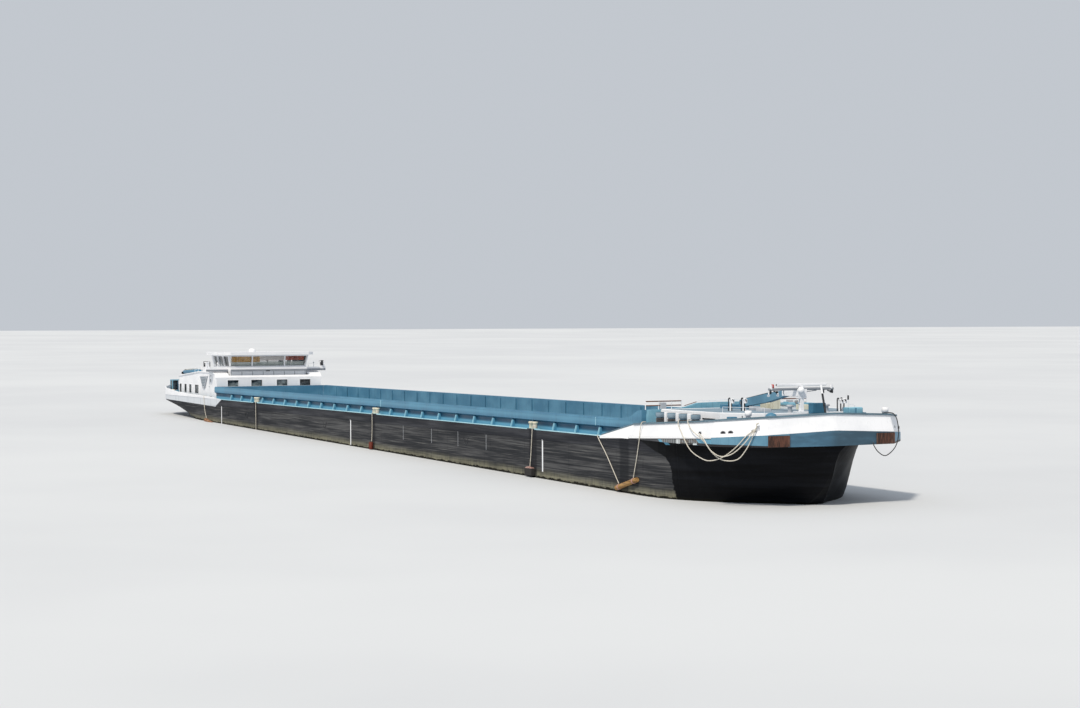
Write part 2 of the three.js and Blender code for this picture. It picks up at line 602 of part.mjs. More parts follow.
// Foremast: foot, arm that folds forward, head that stays level and the radar scanner on it
function buildForemast() {
  const [footX, footZ] = MAST.foot;
  const [headX, headZ] = MAST.head;
  const half = MAST.wide / 2;
  const cheekIn = half + CHEEK.gap;
  const cheekOut = cheekIn + CHEEK.thick;
  const cheekPair = (outline) =>
    join(prism("y", outline, cheekIn, cheekOut), prism("y", outline, -cheekOut, -cheekIn));
  const footCheek = [
    [footX - 0.35, TRUNK_TOP + SEAM],
    [footX + 0.35, TRUNK_TOP + SEAM],
    [footX + 0.16, footZ + 0.16],
    [footX - 0.16, footZ + 0.16],
  ];
  const base = box([footX - 0.45, footX + 0.45], [-0.4, 0.4], [TRUNK_TOP + SEAM, TRUNK_TOP + 0.1]);
  const footPin = rod([footX, -cheekOut, footZ], [footX, cheekOut, footZ], MAST.pin, 16);
  add("foremast_foot", join(base, cheekPair(footCheek), footPin), "teal");

  const rise = Math.atan2(headZ - footZ, headX - footX);
  const length = Math.hypot(headX - footX, headZ - footZ);
  const beam = prism("y", [
    [0, -MAST.tip],
    [length * 0.55, -MAST.high / 2 - 0.06],
    [length, -MAST.tip + 0.04],
    [length + MAST.tip - 0.04, 0],
    [length, MAST.tip - 0.04],
    [length * 0.55, MAST.high / 2],
    [0, MAST.tip],
    [-MAST.tip, 0],
  ], -half, half);
  const pinHole = (x) => rod([x, -half - 0.1, 0], [x, half + 0.1, 0], MAST.pin + 2 * SEAM, 16);
  const arm = cut(beam, pinHole(0), pinHole(length));
  const turned = arm.rotate([0, (-rise * 180) / Math.PI, 0]).translate([footX, 0, footZ]);
  add("foremast_arm", turned, "teal");

  const headCheek = [
    [headX - 0.12, headZ - 0.14],
    [YARD.x + 0.12, headZ - 0.14],
    [YARD.x + 0.12, YARD.z],
    [headX - 0.12, YARD.z - 0.02],
  ];
  const stop = box([YARD.x - 0.1, YARD.x + 0.12], [-cheekOut, cheekOut], [headZ - 0.14, YARD.z]);
  const headPin = rod([headX, -cheekOut, headZ], [headX, cheekOut, headZ], MAST.pin, 16);
  const yard = rod([YARD.x, -YARD.half, YARD.z], [YARD.x, YARD.half, YARD.z], YARD.radius);
  const pedestal = rod([YARD.x, 0, YARD.z], [YARD.x, 0, SCANNER.low - 0.03], 0.16, 16);
  const lamps = [-1.82, 1.82].map((y) =>
    rod([YARD.x, y, YARD.z], [YARD.x, y, YARD.z + 0.22], 0.08, 10),
  );
  const dome = ball([YARD.x + 0.2, -0.13, YARD.z - 0.06], 0.18);
  add("foremast_head", join(cheekPair(headCheek), stop, headPin, yard, pedestal, dome, ...lamps), "white");

  const bar = box(
    [YARD.x - SCANNER.deep / 2, YARD.x + SCANNER.deep / 2],
    [-SCANNER.half, SCANNER.half],
    [SCANNER.low, SCANNER.low + SCANNER.thick],
  );
  const spindle = rod([YARD.x, 0, SCANNER.low - 0.03 + SEAM], [YARD.x, 0, SCANNER.low + 0.02], 0.09, 16);
  add("radar_scanner", join(bar, spindle), "white");
}

function buildBowStaff() {
  const foot = [87.8, 0, DECK + platformRise(87.8)];
  const staff = rod(foot, [87.1, 0, 6.95], 0.05, 10);
  const base = box([foot[0] - 0.15, foot[0] + 0.15], [-0.15, 0.15], [DECK, foot[2] + 0.12]);
  add("bow_staff", cut(join(staff, base), belowPlatform(SEAM)), "white");
}

// Stern: bulwark, propeller in its nozzle, rudders, engine
function sternCorners() {
  const port = STERN_OUTLINE;
  return [...port, ...port.map(([x, y]) => [x, -y]).reverse()];
}

function buildSternBulwark() {
  const stand = sternCorners().map(([x, y]) => [x, y, DECK + SEAM, DECK + along(STERN_RAIL_TOP, x)]);
  const bollards = [-1, 1].map((side) => bollardPair(-17.5, side * 5.2, DECK + 0.02 + SEAM));
  const beds = [-1, 1].map((side) => {
    const y = [5.1, HALF_BEAM - 0.05].map((reach) => reach * side);
    return box([-18, -17], y.sort((a, b) => a - b), [DECK + SEAM, DECK + 0.08]);
  });
  add("stern_bulwark", join(wall(stand, 0.1, 0), ...beds, ...bollards), "white");
}

function buildPropulsion() {
  const { x, radius, blades, hub, hubHalf } = PROPELLER;
  const boss = rod([x - hubHalf, 0, SHAFT_Z], [x + hubHalf, 0, SHAFT_Z], hub * 0.8, 16, hub);
  const bladeRows = [
    // distance from the shaft, half chord, half thickness, pitch angle from the disc
    [0.1, 0.16, 0.04, 1.05],
    [0.4, 0.27, 0.03, 0.75],
    [radius - 0.12, 0.25, 0.02, 0.5],
    [radius, 0.12, 0.012, 0.45],
  ];
  const blade = loft(
    bladeRows.map(([r, chord, thick, pitch]) => {
      const [c, s] = [Math.cos(pitch), Math.sin(pitch)];
      const corner = (u, v) => [x + u * s + v * c, u * c - v * s, SHAFT_Z + r];
      return [corner(-chord, 0), corner(0, thick), corner(chord, 0), corner(0, -thick)];
    }),
  );
  const turned = Array.from({ length: blades }, (_, i) =>
    blade
      .translate([0, 0, -SHAFT_Z])
      .rotate([(i * 360) / blades, 0, 0])
      .translate([0, 0, SHAFT_Z]),
  );
  add("propeller", join(boss, ...turned), "bronze");

  const ring = rod([NOZZLE.aft, 0, SHAFT_Z], [NOZZLE.fore, 0, SHAFT_Z], NOZZLE.outer - 0.03, 32, NOZZLE.outer);
  const bore = rod([NOZZLE.aft - 0.1, 0, SHAFT_Z], [NOZZLE.fore + 0.1, 0, SHAFT_Z], NOZZLE.inner, 32);
  const keel = (station) => along(AFTERBODY.map((row) => [row[0], row[1]]), station) - 2 * SEAM;
  const strut = [
    [-16.1, SHAFT_Z + NOZZLE.inner + 0.02],
    [-15.3, SHAFT_Z + NOZZLE.inner + 0.02],
    [-15.3, keel(-15.3)],
    [-16.1, keel(-16.1)],
  ];
  add("propeller_nozzle", join(cut(ring, bore), prism("y", strut, -0.25, 0.25)), "black");

  const { fore, aft, low, top, thick, stock } = RUDDER;
  const section = [
    [fore, 0],
    [fore - 0.18, thick / 2],
    [-aft, 0.02],
    [-aft, -0.02],
    [fore - 0.18, -thick / 2],
  ].map(([dx, dy]) => [RUDDER.x + dx, RUDDER.y + dy]);
  const stockTop = keel(RUDDER.x + stock);
  const rudder = join(
    prism("z", section, low, top),
    rod([RUDDER.x, RUDDER.y, top - 0.1], [RUDDER.x, RUDDER.y, stockTop], stock, 14),
  );
  add("rudder_port", rudder, "black");
  add("rudder_starboard", mirror(rudder), "black");
  const floor = ENGINE_ROOM.floor + SEAM;
  add("engine_block", box([-12.4, -9.9], [-0.75, 0.75], [floor, floor + 1.45]), "iron");
}

// A row of the small boat kept under a peaked cover on the deckhouse roof
function tenderRow([x, half, keel, rim]) {
  const starboard = [[-half * 0.5, keel], [-half, rim - 0.1], [-half, rim]];
  const port = starboard.map(([y, z]) => [-y, z]).reverse();
  return [...starboard, [0, rim + 0.14], ...port].reverse().map(([y, z]) => [x, TENDER.y + y, z]);
}

// Deckhouse: hollow walls with windows and doorways, a roof with the wheelhouse's mouth, two doors
function houseProfile(drop) {
  const top = HOUSE_TOP.map(([x, z]) => [x, z - drop]);
  return [[HOUSE.aft, DECK + SEAM], ...top, [HOUSE.fore, DECK + SEAM]];
}

function buildDeckhouse() {
  const { aft, fore, half, wall: thick } = HOUSE;
  const drop = HOUSE.roof + SEAM;
  const outer = prism("y", houseProfile(drop), -half, half);
  const inner = box([aft + thick, fore - thick], [-half + thick, half - thick], [DECK - 1, 7]);
  const windows = HOUSE_WINDOWS.centres.map((x, i) => {
    const wide = HOUSE_WINDOWS.wide[i] / 2;
    return box([x - wide, x + wide], [-half - 1, half + 1], HOUSE_WINDOWS.z);
  });
  const frontWindows = [-3.4, -1.2, 1.2, 3.4].map((y) => box([fore - 1, fore + 1], [y - 0.5, y + 0.5], [4.95, 5.5]));
  const aftWindows = [-2.6, 2.6].map((y) => box([aft - 1, aft + 1], [y - 0.5, y + 0.5], [4.5, 5.1]));
  const doorways = box(
    [HOUSE_DOOR.x[0] - CLEAR, HOUSE_DOOR.x[1] + SEAM],
    [-half - 1, half + 1],
    [HOUSE_DOOR.z[0] - CLEAR, HOUSE_DOOR.z[1] + CLEAR],
  );
  add("deckhouse_walls", cut(outer, inner, doorways, ...windows, ...frontWindows, ...aftWindows), "white");

  const under = HOUSE_TOP.map(([x, z]) => [x, z - HOUSE.roof]).reverse();
  const sheet = prism("y", [...HOUSE_TOP, ...under], -half - 0.06, half + 0.06);
  const mouth = box(WELL_MOUTH.x, [-WELL_MOUTH.half, WELL_MOUTH.half], [5, 7]);
  const boat = loft(TENDER.rows.map(tenderRow));
  const stack = rod([-10.2, 3.2, 6.0], [-10.2, 3.2, 7.2], 0.22, 14);
  add("deckhouse_roof", join(cut(sheet, mouth), stack), "white");
  add("tender", cut(boat, prism("y", houseProfile(-SEAM), -half - 1, half + 1)), "teal");

  const door = box(HOUSE_DOOR.x, [half - HOUSE_DOOR.thick, half], HOUSE_DOOR.z);
  const port = join(door, box([-5.92, -5.86], [half - 0.01, half + 0.04], [4.85, 5.0]));
  add("deckhouse_door_port", port, "white");
  add("deckhouse_door_starboard", mirror(port), "white");
}

// Wheelhouse: walls, leaning window band, glass, roof, sliding door and the column that lifts it
function cabinShell(inset) {
  const { aft, fore, half, sill, head, lean } = WHEELHOUSE;
  const loop = (grow, z) => [
    [aft + inset - grow, -half + inset - grow, z],
    [fore - inset + grow, -half + inset - grow, z],
    [fore - inset + grow, half - inset + grow, z],
    [aft + inset - grow, half - inset + grow, z],
  ];
  return loft([loop(0, sill), loop(lean, head)]);
}

// An opening in the window band, whose ends towards a corner lean outward with it
function bandOpening([x0, x1], [y0, y1], [low, high], { fore = 0, starboard = 0, port = 0 } = {}) {
  const loop = (lean, z) => [
    [x0, y0 - starboard * lean, z],
    [x1 + fore * lean, y0 - starboard * lean, z],
    [x1 + fore * lean, y1 + port * lean, z],
    [x0, y1 + port * lean, z],
  ];
  const reach = (z) => (WHEELHOUSE.lean * (z - WHEELHOUSE.sill)) / (WHEELHOUSE.head - WHEELHOUSE.sill);
  return loft([loop(reach(low), low), loop(reach(high), high)]);
}

function buildWheelhouse() {
  const { aft, fore, half, floor, sill, head, wall: thick } = WHEELHOUSE;
  const lower = box([aft, fore], [-half, half], [floor, sill]);
  const floorTop = floor + 0.15;
  const room = box([aft + thick, fore - thick], [-half + thick, half - thick], [floorTop, sill + 0.01]);
  const paneLow = sill + 0.02;
  const paneTop = head - 0.12;
  const paneZ = [paneLow, paneTop];
  const corner = half - 0.1;
  const across = [
    [[-corner, -1.57], { starboard: 1 }],
    [[-1.47, 1.5], {}],
    [[1.6, corner], { port: 1 }],
  ];
  const panes = [
    ...across.map(([y, lean]) => bandOpening([fore - 0.5, fore + 1], y, paneZ, lean)),
    ...across.map(([y, lean]) => bandOpening([aft - 1, aft + 0.5], y, paneZ, lean)),
    bandOpening([-5.7, fore - 0.22], [-half - 1, half + 1], paneZ, { fore: 1 }),
    box([-7.4, -5.85], [-half - 1, half + 1], paneZ),
    box([aft + 0.3, -7.55], [-half - 1, -half + 0.6], paneZ),
  ];
  const doorway = box(
    [SLIDING_DOOR.x[0] + 0.06, SLIDING_DOOR.x[1] - 0.06],
    [half - 0.6, half + 1],
    [floorTop + 0.04, SLIDING_DOOR.z[1] - 0.08],
  );
  const band = cut(cabinShell(0), cabinShell(thick));
  const shell = cut(join(lower, band), room, ...panes, doorway);
  const wing = cut(
    box(WING.x, [-WING.half, WING.half], WING.z),
    box([aft + 0.05, fore - 0.05], [-half + 0.05, half - 0.05], [floor, head]),
  );
  const sidelights = [-1, 1].map((side) => {
    const y = side * 5.42;
    return join(
      box([-5.05, -4.65], [y - 0.16, y + 0.16], [WING.z[1] - 0.02, WING.z[1] + 0.5]),
      box([-5.3, -4.62], [y - 0.19, y + 0.19], [WING.z[1] + 0.44, WING.z[1] + 0.56]),
    );
  });
  const brow = box([fore - 0.02, fore + 0.3], [-half, half], [WING.z[0], WING.z[1]]);
  add("wheelhouse_body", join(shell, wing, brow, ...sidelights), "white");

  const glass = cut(cabinShell(thick + SEAM), cabinShell(thick + 0.04));
  const glassZ = [sill + SEAM, head - 2 * SEAM];
  const wide = half - thick - 0.045;
  const corners = { starboard: 1, port: 1 };
  const regions = {
    wheelhouse_glass_front: bandOpening([fore - 0.14, fore + 1], [-wide, wide], glassZ, corners),
    wheelhouse_glass_aft: bandOpening([aft - 1, aft + 0.14], [-wide, wide], glassZ, corners),
    wheelhouse_glass_starboard: bandOpening([aft + 0.3, fore - 0.21], [-half - 1, -3.38], glassZ, { fore: 1 }),
    wheelhouse_glass_port: bandOpening([-7.45, fore - 0.21], [3.38, half + 1], glassZ, { fore: 1 }),
  };
  for (const [name, region] of Object.entries(regions)) add(name, glass.intersect(region), "glass");

  const doorOut = half - thick - SLIDING_DOOR.gap;
  const leaf = box(
    SLIDING_DOOR.x,
    [doorOut - SLIDING_DOOR.thick, doorOut],
    [floorTop + SEAM, SLIDING_DOOR.z[1]],
  );
  add("wheelhouse_door", leaf, "white");

  const reach = ROOF.overhang + WHEELHOUSE.lean;
  const roofOutline = [
    [aft - reach, -half - reach + 0.3],
    [aft - reach + 0.3, -half - reach],
    [fore + reach - 0.35, -half - reach],
    [fore + reach, -half - reach + 0.5],
    [fore + reach, half + reach - 0.5],
    [fore + reach - 0.35, half + reach],
    [aft - reach + 0.3, half + reach],
    [aft - reach, half + reach - 0.3],
  ];
  const roof = prism("z", roofOutline, head + SEAM, head + ROOF.thick);
  const dome = rod([-6.6, -0.7, head + 0.2], [-6.6, -0.7, head + 0.55], 0.3, 16, 0.2);
  add("wheelhouse_roof", join(roof, dome), "white");

  const column = box(COLUMN.x, [-COLUMN.half, COLUMN.half], [WELL.floor + SEAM, floor - SEAM]);
  add("lift_column", column, "deckBlue");
  const grow = (range, by) => [range[0] - by, range[1] + by];
  const inner = COLUMN.guideGap;
  const outer = inner + COLUMN.guideWall;
  const guide = cut(
    box(
      grow(COLUMN.x, outer),
      grow([-COLUMN.half, COLUMN.half], outer),
      [WELL.floor + SEAM, COLUMN.guideTop],
    ),
    box(grow(COLUMN.x, inner), grow([-COLUMN.half, COLUMN.half], inner), [0, 7]),
  );
  add("lift_guide", guide, "iron");
}

// Small framed shelter on the starboard quarter
function buildShelter() {
  const [x, y, z] = [[-19.35, -18.6], [-4.95, -4.15], [DECK + SEAM, DECK + 1.4]];
  const post = 0.08;
  const inX = [x[0] + post, x[1] - post];
  const inY = [y[0] + post, y[1] - post];
  const inZ = [z[0] + 0.35, z[1] - post];
  const frame = cut(
    box(x, y, z),
    box(inX, inY, [z[0] - 1, inZ[1]]),
    box([x[0] - 1, x[1] + 1], inY, inZ),
    box(inX, [y[0] - 1, y[1] + 1], inZ),
  );
  add("stern_shelter", frame, "deckBlue");
}

// Ropes and the fenders on them
const ROPE = 0.055;
const MOST_STEPS = 78;

function rope(name, points, diameter, finish) {
  const curve = new THREE.CatmullRomCurve3(points.map((p) => new THREE.Vector3(...p)), false, "centripetal");
  const sides = 8;
  const ring = Array.from({ length: sides }, (_, i) => {
    const turn = (i / sides) * 2 * Math.PI;
    return new THREE.Vector2((Math.cos(turn) * diameter) / 2, (Math.sin(turn) * diameter) / 2);
  });
  const steps = Math.min(MOST_STEPS, Math.ceil(curve.getLength() / (2.5 * diameter)));
  const tube = new THREE.ExtrudeGeometry(new THREE.Shape(ring), { steps, extrudePath: curve });
  add(name, solidOf(tube), finish);
}

// A rope's last points, up beside the peg and over it
const overPeg = (reach) => [
  pegPoint(reach, 0.082, 4.92),
  pegPoint(reach, 0.08, 5.03),
  pegPoint(reach, 0.045, 5.105),
  pegPoint(reach, -0.02, 5.115),
];

// A rope's first points, tied to a side bollard's post and over the deck's edge
const fromBollard = (x) => [[x, -5.704, 4.2], [x, -5.71, 4.08], [x, -5.752, 3.98], [x, -5.757, 3.87]];

const SIDE_ROPES = [
  // name, diameter, finish, then the route's points
  ["rope_bow_inner", ROPE, "rope", [
    [81.75, -5.25, 5.065], [82.0, -5.42, 5.095], [82.25, -5.58, 5.095], [82.42, -5.69, 4.995], [82.53, -5.76, 4.9],
    [82.79, -5.78, 4.63], [83.11, -5.79, 4.28], [83.84, -5.79, 3.65], [84.86, -5.79, 3.3], [85.87, -5.79, 3.2],
    [86.39, -5.42, 3.37], [86.93, -4.95, 3.88], [87.33, -4.54, 4.49], ...overPeg(-0.055),
  ]],
  ["rope_bow_middle", ROPE, "rope", [
    [82.95, -5.3, 5.135], [83.15, -5.5, 5.155], [83.4, -5.68, 5.055], [84.0, -5.82, 4.7], [84.77, -5.87, 4.41],
    [85.4, -5.88, 4.15], [86.2, -5.74, 3.51], [86.56, -5.42, 3.25], [87.1, -4.95, 3.3], [87.4, -4.62, 3.79],
    [87.6, -4.36, 4.45], ...overPeg(0.005),
  ]],
  ["rope_bow_outer", ROPE, "rope", [
    [84.61, -5.745, 4.5], [84.85, -5.85, 4.53], [85.41, -5.95, 4.34], [86.14, -5.9, 3.72], [86.56, -5.6, 3.45],
    [86.97, -5.22, 3.56], [87.4, -4.8, 4.04], [87.7, -4.45, 4.6], ...overPeg(0.065),
  ]],
  ["rope_bow_port", ROPE, "darkRope", [
    [87.55, 3.42, 5.462], [87.76, 3.57, 5.48], [87.93, 3.69, 5.483], [88.05, 3.8, 5.42], [88.13, 3.9, 5.2],
    [88.12, 4.03, 4.65], [88.14, 4.0, 4.25], [88.27, 3.78, 3.84], [88.4, 3.35, 3.48], [88.45, 2.95, 3.33],
    [88.44, 2.6, 3.5], [88.38, 2.36, 3.82], [88.36, 2.3, 4.02],
  ]],
  ["rope_aft", 0.05, "rope", [
    [-5.05, -5.5, 4.078], [-5.04, -5.67, 4.079], [-5.03, -5.742, 4.075], [-5.02, -5.755, 4.0], [-5.0, -5.756, 3.9],
    [-4.85, -5.76, 3.3], [-4.5, -5.79, 2.7], [-3.95, -5.82, 2.14],
  ]],
  ["rope_side_aft", 0.05, "rope", [
    ...fromBollard(10.43), [10.43, -5.755, 3.2], [10.45, -5.755, 2.5], [10.45, -5.755, 1.75],
  ]],
  ["rope_side_middle", 0.05, "rope", [
    ...fromBollard(37.82), [37.82, -5.755, 3.2], [37.82, -5.77, 2.5], [37.82, -5.8, 1.97],
  ]],
  ["rope_side_fore", 0.05, "rope", [
    ...fromBollard(64.73), [64.65, -5.76, 3.2], [64.58, -5.78, 2.4], [64.55, -5.83, 1.73],
  ]],
  ["rope_log_aft", 0.05, "rope", [
    [73.2, -5.55, 3.929], [73.24, -5.69, 3.937], [73.29, -5.752, 3.93], [73.4, -5.758, 3.8], [74.4, -5.78, 2.95],
    [75.3, -5.81, 2.1], [76.0, -5.833, 1.42],
  ]],
  ["rope_log_fore", 0.05, "rope", [
    [78.42, -5.45, 4.864], [78.41, -5.6, 4.868], [78.39, -5.67, 4.84], [78.36, -5.72, 4.65], [78.3, -5.757, 4.2],
    [78.25, -5.76, 3.9], [78.0, -5.79, 2.9], [77.7, -5.833, 1.84],
  ]],
];
const LOG = { from: [75.75, -5.833, 1.17], to: [78.1, -5.833, 1.76], radius: 0.135 };

function buildRopesAndFenders() {
  for (const [name, diameter, finish, points] of SIDE_ROPES) rope(name, points, diameter, finish);
  add("fender_log", rod(LOG.from, LOG.to, LOG.radius, 14), "log");
  add("fender_block", box([64.05, 65.05], [-6.0, -SIDE - SEAM], [1.16, 1.7]), "rubber");
  add("fender_small", rod([37.82, -5.858, 1.4], [37.82, -5.858, 1.94], 0.16, 14), "wood");
  add("fender_aft", rod([-4.05, -5.87, 1.97], [-1.95, -5.87, 1.7], 0.17, 14), "wood");
}

buildAfterbody();
buildForebody();
buildMidbody();
buildCoamings();
buildHoldEnds();
buildPlatform();
buildBulwark();
buildFenderBoards();
buildTrunk();
buildWinch();
buildForemast();
buildBowStaff();
buildSternBulwark();
buildPropulsion();
buildDeckhouse();
buildWheelhouse();
buildShelter();
buildRopesAndFenders();

// The model stands at the origin on its flat bottom, in millimetres
const model = new THREE.Group();
ship.scale.setScalar(MODEL_SCALE * MM_PER_METRE);
ship.position.x = -MIDSHIP * MODEL_SCALE * MM_PER_METRE;
model.add(ship);

export default model;
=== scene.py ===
"""Looks of a self-propelled river barge, a 1:10 scale model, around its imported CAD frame.

Sizes and places are the real ship's, in metres: fwd counts forward from the datum near the after end
of the hold, port from the centreline and up from the keel. Shape.piece shrinks them to the model. In
the finishes, rise and fall take the model's own metres, and all else the ship's.
"""

import logging
import math
from dataclasses import dataclass, field
from enum import Enum

import bmesh
import bpy
from mathutils import Matrix, Vector


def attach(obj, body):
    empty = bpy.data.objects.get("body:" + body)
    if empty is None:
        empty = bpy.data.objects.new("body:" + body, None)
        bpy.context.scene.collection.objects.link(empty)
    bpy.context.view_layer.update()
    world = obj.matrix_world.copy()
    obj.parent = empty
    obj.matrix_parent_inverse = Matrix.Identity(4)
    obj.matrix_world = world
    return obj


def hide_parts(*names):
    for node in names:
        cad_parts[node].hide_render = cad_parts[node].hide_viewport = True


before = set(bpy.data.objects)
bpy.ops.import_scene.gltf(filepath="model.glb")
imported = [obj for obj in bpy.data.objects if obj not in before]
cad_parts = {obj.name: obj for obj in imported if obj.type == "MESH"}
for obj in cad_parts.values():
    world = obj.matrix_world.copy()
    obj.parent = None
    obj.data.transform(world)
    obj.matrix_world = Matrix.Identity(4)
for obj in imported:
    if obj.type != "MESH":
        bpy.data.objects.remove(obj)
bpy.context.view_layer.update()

log = logging.getLogger("barge")

Point = tuple[float, float, float]
Range = tuple[float, float]
Colour = bpy.types.NodeSocket | str

# The ship, as part.mjs has it
SCALE = 0.1
MIDSHIP = 33.5
HALF_BEAM = 5.725
DECK = 3.9
TRUNK_TOP = 5.5
WATERLINE = 1.8
TRIM = 0.0113
STERN = -21.5

# The bow band's slanting edges run this far aft for each metre they climb
RAKE = 1.42

# What is laid on the side plating starts inside it and ends just inside the CAD's beam
SKIN = (5.69, 5.7245)
SIDES = (1, -1)
UP = (0, 0, 1)


def place(fwd: float, port: float, up: float) -> Vector:
    """Returns the model's point, in metres, for a point of the real ship."""
    return Vector(((fwd - MIDSHIP) * SCALE, port * SCALE, up * SCALE))


def about(middle: float, half: float) -> Range:
    """Returns the range that reaches half to each side of a middle."""
    return (middle - half, middle + half)


def along(table: list[Range] | tuple[Range, ...], value: float) -> float:
    """Returns the second column of a sorted table, on the line between its rows.

    Args:
        table: rows whose first column rises.
        value: where to read between them.
    """
    for left, right in zip(table, table[1:]):
        if value <= right[0]:
            break
    return left[1] + (right[1] - left[1]) * (value - left[0]) / (right[0] - left[0])


# Colour and nodes


def linear(code: str) -> tuple[float, float, float, float]:
    """Returns the linear colour of an sRGB hex code such as "5B93AE"."""
    parts = [int(code[start : start + 2], 16) / 255 for start in (0, 2, 4)]
    return (*[p / 12.92 if p <= 0.04045 else ((p + 0.055) / 1.055) ** 2.4 for p in parts], 1.0)


def put(tree: bpy.types.NodeTree, kind: str, settings: dict | None = None, **inputs: object) -> bpy.types.Node:
    """Adds a node with its settings and links.

    Args:
        tree: the material's node tree.
        kind: the node's type, without "ShaderNode".
        settings: attributes of the node itself.
        inputs: numbers, hex colours, sockets or fields; "i0" is the first socket, any other key is a
            name with spaces as underscores.

    Returns:
        The new node.
    """
    made = tree.nodes.new("ShaderNode" + kind)
    for key, value in (settings or {}).items():
        setattr(made, key, value)
    for key, value in inputs.items():
        socket = made.inputs[int(key[1:])] if key[1:].isdigit() else made.inputs[key.replace("_", " ")]
        value = value.socket if isinstance(value, Field) else value
        if isinstance(value, bpy.types.NodeSocket):
            tree.links.new(value, socket)
        else:
            socket.default_value = linear(value) if isinstance(value, str) else value
    return made


@dataclass(frozen=True)
class Field:
    """A number that varies over a surface; arithmetic on it adds nodes to its tree."""

    socket: bpy.types.NodeSocket

    def calc(self, kind: str, first: "Field | float", second: "Field | float" = 0.0) -> "Field":
        """Returns the result of one Math node."""
        return Field(put(self.socket.id_data, "Math", {"operation": kind}, i0=first, i1=second).outputs[0])

    def __add__(self, other: "Field | float") -> "Field":
        """Returns the sum."""
        return self.calc("ADD", self, other)

    def __sub__(self, other: "Field | float") -> "Field":
        """Returns this less the other."""
        return self.calc("SUBTRACT", self, other)

    def __mul__(self, other: "Field | float") -> "Field":
        """Returns the product."""
        return self.calc("MULTIPLY", self, other)

    def __abs__(self) -> "Field":
        """Returns the size without its sign."""
        return self.calc("ABSOLUTE", self)

    def wave(self, half: float) -> "Field":
        """Returns a saw that climbs to half and falls back, over and over."""
        return self.calc("PINGPONG", self, half)

    def most(self, other: "Field") -> "Field":
        """Returns the larger of the two."""
        return self.calc("MAXIMUM", self, other)

    def rise(self, low: float, high: float) -> "Field":
        """Returns 0 at low, rising smoothly to 1 at high."""
        smooth = {"interpolation_type": "SMOOTHSTEP"}
        made = put(self.socket.id_data, "MapRange", smooth, Value=self, From_Min=low, From_Max=high)
        return Field(made.outputs[0])

    def fall(self, low: float, high: float) -> "Field":
        """Returns 1 at low, falling smoothly to 0 at high."""
        return self.calc("SUBTRACT", 1.0, self.rise(low, high))

    def between(self, low: float, high: float) -> "Field":
        """Returns 1 where this lies between low and high, both in the real ship's metres, and 0 elsewhere."""
        low, high, soft = low * SCALE, high * SCALE, 0.0003
        return self.rise(low - soft, low + soft) * self.rise(high + soft, high - soft)

    def spread(self, start: float, stop: float) -> "Field":
        """Returns start where this is 0 and stop where it is 1."""
        return Field(put(self.socket.id_data, "MapRange", Value=self, To_Min=start, To_Max=stop).outputs[0])

    def mix(self, under: Colour, over: Colour) -> bpy.types.NodeSocket:
        """Returns the colour under with over laid on it by this amount."""
        return put(self.socket.id_data, "Mix", {"data_type": "RGBA"}, i0=self, i6=under, i7=over).outputs[2]


class Started:
    """A new material's tree, its shader and the places in the model's own space."""

    def __init__(self, name: str) -> None:
        """Starts the material of that name."""
        self.material = bpy.data.materials.new(name)
        self.material.use_nodes = True
        self.tree = self.material.node_tree
        self.shader = self.tree.nodes["Principled BSDF"]
        self.where = put(self.tree, "TexCoord").outputs["Object"]

    def axes(self) -> list[Field]:
        """Returns how far each place lies forward of amidships, to port and up."""
        return [Field(socket) for socket in put(self.tree, "SeparateXYZ", Vector=self.where).outputs]

    def patches(self, size: Point, detail: float = 4.0) -> Field:
        """Returns noise whose patches are size long along X, Y and Z, in the real ship's metres."""
        stretch = tuple(1 / (SCALE * length) for length in size)
        spread = put(self.tree, "Mapping", Vector=self.where, Scale=stretch).outputs[0]
        made = put(self.tree, "TexNoise", Vector=spread, Scale=1.0, Detail=detail, Roughness=0.6)
        return Field(made.outputs[0])

    def link(self, name: str, value: Field | bpy.types.NodeSocket) -> None:
        """Links a value to one of the shader's sockets."""
        self.tree.links.new(value.socket if isinstance(value, Field) else value, self.shader.inputs[name])

    def hold(self, **values: float) -> None:
        """Sets constants on the shader's own sockets, named with underscores for spaces."""
        for name, value in values.items():
            self.shader.inputs[name.replace("_", " ")].default_value = value

    def bump(self, height: Field, depth: float) -> None:
        """Lays a relief of that depth, in the real ship's metres, on the surface."""
        made = put(self.tree, "Bump", Height=height, Strength=0.6, Distance=depth * SCALE)
        self.link("Normal", made.outputs[0])


@dataclass(frozen=True)
class MarinePaint:
    """Alkyd marine paint rolled on steel plate: an even film that chalks in patches and streaks under rain."""

    name: str
    colour: str
    chalk: str
    dirt: str
    roughness: float = 0.45
    streaks: float = 0.35
    rust: float = 0.0
    metallic: float = 0.0

    def make(self) -> bpy.types.Material:
        """Returns the material."""
        new = Started(self.name)
        # Rollers and weather leave tones some 2 m across
        cloud = new.patches((2.2, 2.2, 1.2)).rise(0.35, 0.68)
        colour = cloud.mix(self.colour, self.chalk)
        # Rain draws thin dark runs, about 0.14 m wide and 1.6 m long, drawn coarse enough to show
        runs = new.patches((0.14, 0.14, 1.6), 5).rise(0.52, 0.74)
        colour = (runs * self.streaks).mix(colour, self.dirt)
        if self.rust:
            spots = new.patches((0.22, 0.22, 0.5), 6).rise(0.66, 0.72)
            colour = (spots * self.rust).mix(colour, "6B4630")
        new.link("Base Color", self.zones(new, colour))
        new.hold(Metallic=self.metallic)
        new.link("Roughness", cloud.spread(self.roughness, min(1.0, self.roughness + 0.18)))
        new.bump(new.patches((0.5, 0.5, 0.5), 3), 0.012)
        return new.material

    def zones(self, new: Started, colour: Colour) -> Colour:
        """Returns the colour with what else is painted over the plain coat: nothing, in the plain one."""
        return colour


